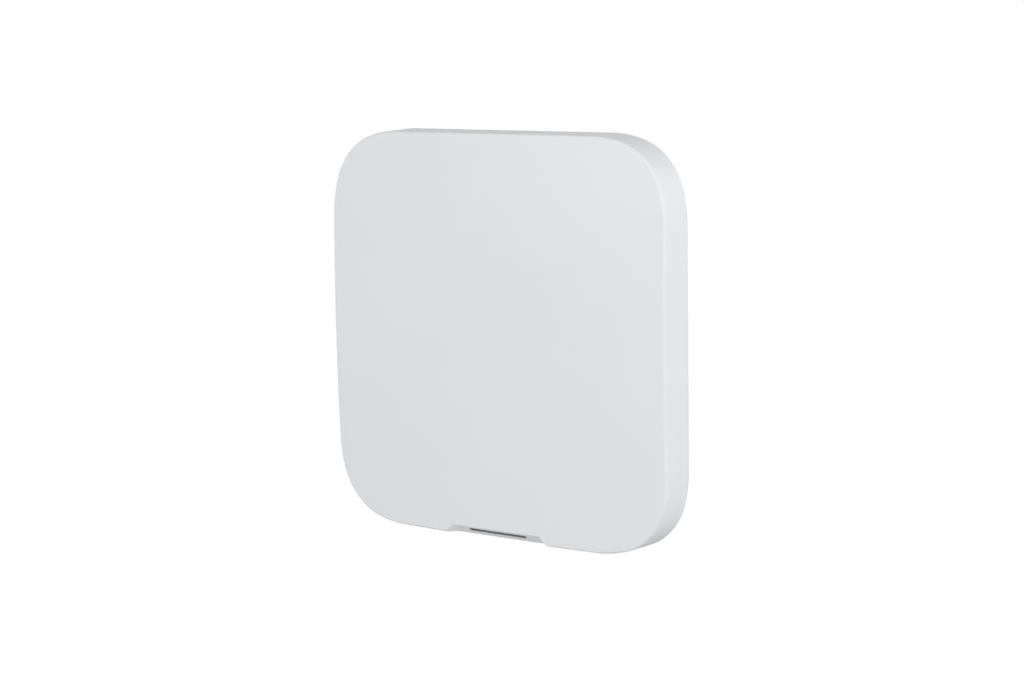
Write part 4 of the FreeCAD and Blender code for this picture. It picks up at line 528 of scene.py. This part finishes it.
# front cover, in mm and degrees: one profile of the wall is carried round the outline
coverLook = {
    "half": 81.5,
    "arcs": (46.0, 26.5, 18.0),  # easy radius, tight radius, degrees of an easy arc
    "rimBack": 17.6,
    "front": 34.0,
    "innerDraft": 1.7,
    "sideDraft": 0.7,
    "cornerDraft": 2.1,
    "cornerDroop": 1.5,
    "cornerProduct": 5300.0,  # x times z where a corner's share is full
    "edgeRound": 1.2,
    "wall": 2.2,
    "frontWall": 2.4,
    "innerRound": 0.6,
    "rimRound": 0.25,
    "recessHalf": 21.5,
    "recessEnd": 4.0,
    "recessRun": 4.5,
    "recessRise": 4.0,
    "slotHalf": 14.05,
    "slotFrom": 1.35,  # down the slope from its upper edge
    "slotTo": 3.55,
    "slotDepth": 1.65,
    "blendShare": 0.42,  # share of the recess from which the edge is a straight slope
    "houseHalf": 17.0,  # block behind the recess
    "houseHeight": 5.5,
    "houseReach": 6.5,
    "houseStep": 3.0,
    "houseMargin": 2.0,
    "insideShrinks": (0.15, 0.4, 0.65, 0.85, 1.0),
    "innerDepths": (24.5, 21.0),
    "wallParts": (0.04, 0.35, 0.7, 0.96),
    "frontBeyond": (0.12, 0.4, 1.1, 2.6, 5.0),
    "frontInset": 10.0,
    "frontShrinks": (1.0, 0.95, 0.9, 0.85, 0.8, 0.7, 0.6, 0.45, 0.3, 0.15),
    # from, to and number of columns along half of the bottom side, and the width of a sharp step
    "bottomRuns": ((0, 14, 15), (14.5, 16.5, 5), (18, 21, 4), (21, 27, 31), (27, 47, 8)),
    "breakStep": 1e-3,
    "sharp": 40.0,
}


def softSquare(half, arcs, bottomSpots):
    # each corner is an easy arc, a tighter arc and an easy arc, and then a straight side follows. A point
    # is its arc's centre plus the radius times (cos, sin), and the normal is that (cos, sin)
    easy, tight, degrees = arcs
    bend = math.radians(degrees)
    quarter = math.pi / 2
    reach = easy - (easy - tight) * (math.cos(bend) - math.sin(bend))
    near = np.array((half - easy, half - reach))
    middle = near + (easy - tight) * np.array((math.cos(bend), math.sin(bend)))
    turns = np.concatenate((np.linspace(0, bend, 9)[:-1], np.linspace(bend, quarter - bend, 27)[:-1],
                            np.linspace(quarter - bend, quarter, 9)))
    first, last = turns < bend, turns >= quarter - bend
    centres = np.where(first[:, None], near, np.where(last[:, None], near[::-1], middle))
    radii = np.where(first | last, easy, tight)
    cornerNormals = np.stack((np.cos(turns), np.sin(turns)), axis=-1)
    corner = centres + radii[:, None] * cornerNormals
    plainSpots = np.linspace(-near[1], near[1], 26)[1:-1]
    points, normals = [], []
    for turn in range(4):
        sideSpots = bottomSpots if turn == 2 else plainSpots
        side = np.stack((-sideSpots, np.full(len(sideSpots), half)), axis=-1)
        sideNormals = np.tile((0.0, 1.0), (len(sideSpots), 1))
        c, s = math.cos(turn * quarter), math.sin(turn * quarter)
        spin = np.array(((c, s), (-s, c)))
        points += [corner @ spin, side @ spin]
        normals += [cornerNormals @ spin, sideNormals @ spin]
    return np.concatenate(points), np.concatenate(normals)


def makeCover(look):
    # the recess, its slot and the block behind it lie in the bottom side, which has columns of its own
    step = look["breakStep"]
    breaks = [(edge, edge + step) for edge in (look["slotHalf"], look["houseHalf"])]
    halfSpots = np.concatenate([np.linspace(*run) for run in look["bottomRuns"]] + breaks)
    bottomSpots = np.unique(np.round(np.concatenate((-halfSpots, halfSpots)), 4))
    outline, normals = softSquare(look["half"], look["arcs"], bottomSpots)
    onBottom = outline[:, 1] < -look["half"] + step
    across = np.where(onBottom, np.abs(outline[:, 0]), np.inf)
    rimBack = look["rimBack"]

    def cornerShare(flat):
        # none in the middle of a side, all in a corner: the square of x times z
        return np.clip((flat[:, 0] * flat[:, 1] / look["cornerProduct"]) ** 2, 0.0, 1.0)

    def flatAt(inset, shrink=1.0):
        return (outline - normals * np.reshape(inset, (-1, 1))) * shrink

    def frontDepth(flat):
        return look["front"] - look["cornerDroop"] * cornerShare(flat)

    # towards a corner the wall leans in more, and the front droops back
    draft = look["sideDraft"] + (look["cornerDraft"] - look["sideDraft"]) * cornerShare(outline)
    lean = np.tan(np.radians(draft))
    innerLean = math.tan(math.radians(look["innerDraft"]))
    edgeInset = look["edgeRound"] + lean * (look["front"] - look["edgeRound"] - rimBack)
    front = frontDepth(flatAt(edgeInset))

    def drafted(depth):
        return lean * (depth - rimBack)

    def hollowed(depth):
        return look["wall"] + innerLean * (depth - rimBack)

    # share is 1 along the recess and falls to 0 over its sloping ends. run and rise are the recess's size
    # there, never under the edge round, so the plain edge turns into the slope without a break
    share = np.clip((look["recessHalf"] + look["recessEnd"] - across) / look["recessEnd"], 0.0, 1.0)
    pitch = look["recessRise"] / look["recessRun"]
    lost = drafted(front - look["recessRun"]) / (pitch - lean)
    run = np.maximum(look["edgeRound"], look["recessRun"] * share - lost)
    footDepth = front - run
    footInset = drafted(footDepth)
    rise = np.maximum(footInset + look["edgeRound"], look["recessRise"] * share)
    bulge = np.clip(1.0 - share / look["blendShare"], 0.0, 1.0)
    bulge = bulge * bulge * (3 - 2 * bulge)
    slopeRise = look["recessRise"] - drafted(front - look["recessRun"] + lost)
    slopeLength = np.hypot(look["recessRun"] - lost, slopeRise)
    slotLow, slotHigh = 1 - look["slotTo"] / slopeLength, 1 - look["slotFrom"] / slopeLength
    inSlot = across <= look["slotHalf"]
    inHouse = across <= look["houseHalf"]
    tilt = math.atan(pitch)

    rows = []

    def row(inset, depth, shrink=1.0):
        flat = flatAt(inset, shrink)
        rows.append(np.stack((flat[:, 0], -np.broadcast_to(depth, len(flat)), flat[:, 1]), axis=-1))

    def frontRow(inset, shrink=1.0):
        row(inset, frontDepth(flatAt(inset, shrink)), shrink)

    # inside face, its round corner and the inner wall, with the block behind the recess
    inside = look["front"] - look["frontWall"]
    innerInset = hollowed(inside)
    houseInset, houseBack = look["wall"] + look["houseHeight"], inside - look["houseReach"]
    for shrink in look["insideShrinks"]:
        row(houseInset + look["houseMargin"], inside, shrink)
    bend = look["innerRound"]
    housePath = ((houseInset, inside), (houseInset, inside - look["houseStep"]), (houseInset, houseBack),
                 (houseInset - look["houseStep"], houseBack), (hollowed(houseBack), houseBack))
    for turn, (houseIn, houseDeep) in zip(np.linspace(math.pi / 2, 0, len(housePath)), housePath):
        plainInset = innerInset + bend * (1 - math.cos(turn))
        plainDepth = inside - bend * (1 - math.sin(turn))
        row(np.where(inHouse, houseIn, plainInset), np.where(inHouse, houseDeep, plainDepth))
    for depth in look["innerDepths"] + (rimBack + look["rimRound"],):
        row(hollowed(depth), depth)
    # the rim's back face between two small rounds
    bend = look["rimRound"]
    for turn in np.linspace(0, math.pi / 2, 4)[1:]:
        row(look["wall"] - bend * (1 - math.cos(turn)), rimBack + bend * (1 - math.sin(turn)))
    row(look["wall"] / 2, rimBack)
    for turn in np.linspace(math.pi / 2, 0, 4):
        row(bend * (1 - math.cos(turn)), rimBack + bend * (1 - math.sin(turn)))
    # outer wall up to the edge or the foot of the recess
    for part in look["wallParts"]:
        depth = rimBack + bend + (footDepth - rimBack - bend) * part
        row(drafted(depth), depth)
    # edge round, slope and slot: a row lies at a part of the way up, the arc and the straight slope are
    # mixed by bulge, and the slot's rows are sunk square to the slope
    gap = step / 4
    low = [(part, 0) for part in (0.0, 0.02, 0.07, 0.15, 0.25, slotLow - gap)]
    sunken = [(part, 1) for part in (slotLow, 0.5, 0.65, slotHigh)]
    high = [(part, 0) for part in (slotHigh + gap, 0.86, 0.92, 0.96, 0.985, 1.0)]
    for part, sunk in low + sunken + high:
        turn = part * math.pi / 2
        straightInset = footInset + (rise - footInset) * part
        straightDepth = footDepth + run * part
        arcInset = footInset + (rise - footInset) * (1 - np.cos(turn))
        arcDepth = footDepth + run * np.sin(turn)
        inset = straightInset + (arcInset - straightInset) * bulge
        depth = straightDepth + (arcDepth - straightDepth) * bulge
        down = np.where(inSlot, look["slotDepth"] * sunk, 0.0)
        row(inset + down * math.cos(tilt), depth - down * math.sin(tilt))
    # the front, closed in the middle
    for beyond in look["frontBeyond"]:
        frontRow(rise + beyond)
    for shrink in look["frontShrinks"]:
        frontRow(look["frontInset"], shrink)

    middles = np.array([(0.0, -inside, 0.0), (0.0, -look["front"], 0.0)])
    points = np.concatenate(rows + [middles])
    addSkin("coverShell", points, ringFaces(len(rows), len(outline)), "front_cover", look["sharp"])
    print("cover:", len(rows), "rows of", len(outline))


makeCover(coverLook)

# indicator bar, in mm: a rounded bar with a low crown, laid in the slot's own directions
barLook = {
    "halfLength": 14.0,
    "halfHeight": 1.05,
    "endRadius": 0.55,
    "thick": 1.6,
    "edge": 0.18,
    "backInset": 0.3,
    "backEdge": 0.05,
    "crown": 0.05,
    "crownRows": ((0.35, 0.6), (0.52, 0.85)),
    "sink": 0.1,
    "downSlope": 2.45,
    "sharp": 50.0,
}


def makeBar(look, cover):
    # the outline's corners are arcs, and a row is that outline drawn in by an inset, at a height over the
    # bar's back
    arc = np.linspace(0, math.pi / 2, 9)
    ring = np.stack((np.cos(arc), np.sin(arc)), axis=-1)
    middle = np.array((look["halfLength"] - look["endRadius"], look["halfHeight"] - look["endRadius"]))
    normals = np.concatenate([ring * (1, 1), ring[::-1] * (-1, 1), ring * (-1, -1), ring[::-1] * (1, -1)])
    signs = np.repeat(((1, 1), (-1, 1), (-1, -1), (1, -1)), len(arc), axis=0)
    outline = signs * middle + look["endRadius"] * normals
    edge, thick, nick = look["edge"], look["thick"], look["backEdge"]
    rows = [(edge + look["backInset"], 0.0), (edge, 0.0), (nick, nick)]
    rows += [(0.0, edge), (0.0, thick / 2), (0.0, thick - edge)]
    rows += [(edge * (1 - math.cos(turn)), thick - edge * (1 - math.sin(turn)))
             for turn in np.linspace(0, math.pi / 2, 5)[1:]]
    rows += [(inset, thick + part * look["crown"]) for inset, part in look["crownRows"]]
    tilt = math.atan2(cover["recessRise"], cover["recessRun"])
    along = np.array((1.0, 0.0, 0.0))
    down = np.array((0.0, math.cos(tilt), -math.sin(tilt)))
    out = np.array((0.0, -math.sin(tilt), -math.cos(tilt)))
    top = np.array((0.0, -cover["front"], cover["recessRise"] - cover["half"]))
    back = top + down * look["downSlope"] - out * (look["sink"] + thick)
    rings = []
    for inset, height in rows:
        flat = outline - normals * inset
        rings.append(back + flat[:, :1] * along + flat[:, 1:] * down + height * out)
    ends = np.array((back, back + out * (thick + look["crown"])))
    points = np.concatenate(rings + [ends])
    addSkin("indicatorBar", points, ringFaces(len(rings), len(outline)), "light_bar", look["sharp"])
    print("indicator bar made")


makeBar(barLook, coverLook)

# housing screws, in mm: domed heads with a six-lobed drive recess
screwLook = {
    "columns": 48,
    "headRadius": 2.7,
    "headHeight": 1.6,
    "headEdge": 0.12,
    "domeDrop": 0.42,
    "skirt": 0.75,
    "shankRadius": 1.4,
    "tipRadius": 0.5,
    "tipLength": 0.9,
    "lobes": 6,
    "driveRadius": 1.22,
    "driveSwing": 0.17,
    "driveEdge": 0.06,
    "driveDepth": 0.9,
    "driveFloor": 0.6,
    "driveTip": (0.1, 0.15),
    "sharp": 35.0,
}


def makeScrews(look):
    # one screw is a profile turned about its axis, and in the drive recess the radius swings with the
    # cosine of the lobes times the angle. The four stand at the corners of the node's box
    low, high = (np.array(corner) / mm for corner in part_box("housing_screws"))
    turn = np.linspace(0, 2 * math.pi, look["columns"], endpoint=False)
    head, top = look["headRadius"], look["headHeight"]
    length = high[1] - low[1] - top
    drive = look["driveRadius"] + look["driveSwing"] * np.cos(look["lobes"] * turn)
    shank, edge, skirt, nick = look["shankRadius"], look["headEdge"], look["skirt"], look["driveEdge"]
    floor = top - look["driveDepth"]
    floorDrop, middleDrop = look["driveTip"]
    rows = [(look["tipRadius"], -length), (shank, look["tipLength"] - length), (shank, 0.0)]
    rows += [(head - edge, 0.0), (head, edge), (head, skirt)]
    for rise in np.linspace(0, math.pi / 2, 7)[1:]:
        dome = head * (1 - look["domeDrop"] * (1 - math.cos(rise)))
        rows.append((dome, skirt + (top - skirt) * math.sin(rise)))
    rows += [(drive + nick, top), (drive, top - nick), (drive, floor)]
    rows += [(look["driveFloor"] * drive, floor - floorDrop)]
    rings = [np.stack((radius * np.cos(turn), height + 0 * turn, radius * np.sin(turn)), axis=-1)
             for radius, height in rows]
    ends = np.array(((0.0, -length, 0.0), (0.0, floor - middleDrop, 0.0)))
    screw = np.concatenate(rings + [ends])
    faces = ringFaces(len(rows), look["columns"])
    points, shells = [], []
    for x in (low[0] + head, high[0] - head):
        for z in (low[2] + head, high[2] - head):
            shells += [tuple(spot + len(points) * len(screw) for spot in face) for face in faces]
            points.append(screw + (x, high[1] - top, z))
    addSkin("coverScrews", np.concatenate(points), shells, "housing_screws", look["sharp"])
    print("screws made:", len(points))


makeScrews(screwLook)

# CAD pieces whose shape is right: each is a merged copy with its edges softened by this many mm
dressPlan = {
    "rear_housing": 0.18,
    "wall_bracket": 0.18,
    "tamper_plunger": 0.0,
    "tamper_spring": 0.0,
    "power_button": 0.15,
    "reset_button": 0.10,
    "ethernet_jack": 0.12,
    "jack_contacts": 0.0,
    "power_inlet": 0.15,
    "inlet_pins": 0.0,
    "card_socket_left": 0.10,
    "card_socket_right": 0.10,
    "card_tray_left": 0.10,
    "card_tray_right": 0.10,
    "battery_cells": 0.0,
    "battery_clip": 0.15,
    "heat_sink": 0.10,
    "processor": 0.10,
    "radio_shield": 0.15,
    "cellular_module": 0.10,
    "power_transformer": 0.20,
    "line_choke": 0.20,
    "ethernet_transformer": 0.15,
}


def dressNode(node, bevel):
    # a copy of the node's mesh, its loose triangles joined and flat ones merged
    form = bmesh.new()
    form.from_mesh(cadNodes[node].data)
    bmesh.ops.remove_doubles(form, verts=form.verts, dist=cadMerge)
    bmesh.ops.dissolve_limit(form, angle_limit=math.radians(flatTurn), verts=form.verts, edges=form.edges)
    skin = bpy.data.meshes.new(node + "Dressed")
    form.to_mesh(skin)
    form.free()
    piece = finishPiece(node + "Dressed", skin, node, softTurn)
    if bevel > 0:
        soft = piece.modifiers.new("softEdge", "BEVEL")
        soft.width = bevel * mm
        soft.segments = 2
        soft.limit_method = "ANGLE"
        soft.angle_limit = math.radians(softTurn)
        soft.harden_normals = True


for dressedNode, edgeWidth in dressPlan.items():
    dressNode(dressedNode, edgeWidth)
print("dressed:", len(dressPlan), "nodes")

# the sealed pieces keep their CAD shape and get their finish
shownNodes = set(dressPlan) | {"front_cover", "light_bar", "housing_screws"}
for node, thing in cadNodes.items():
    if node not in shownNodes:
        for holder in thing.material_slots:
            holder.material = paints[slotOf[node]]
print("inner pieces finished")
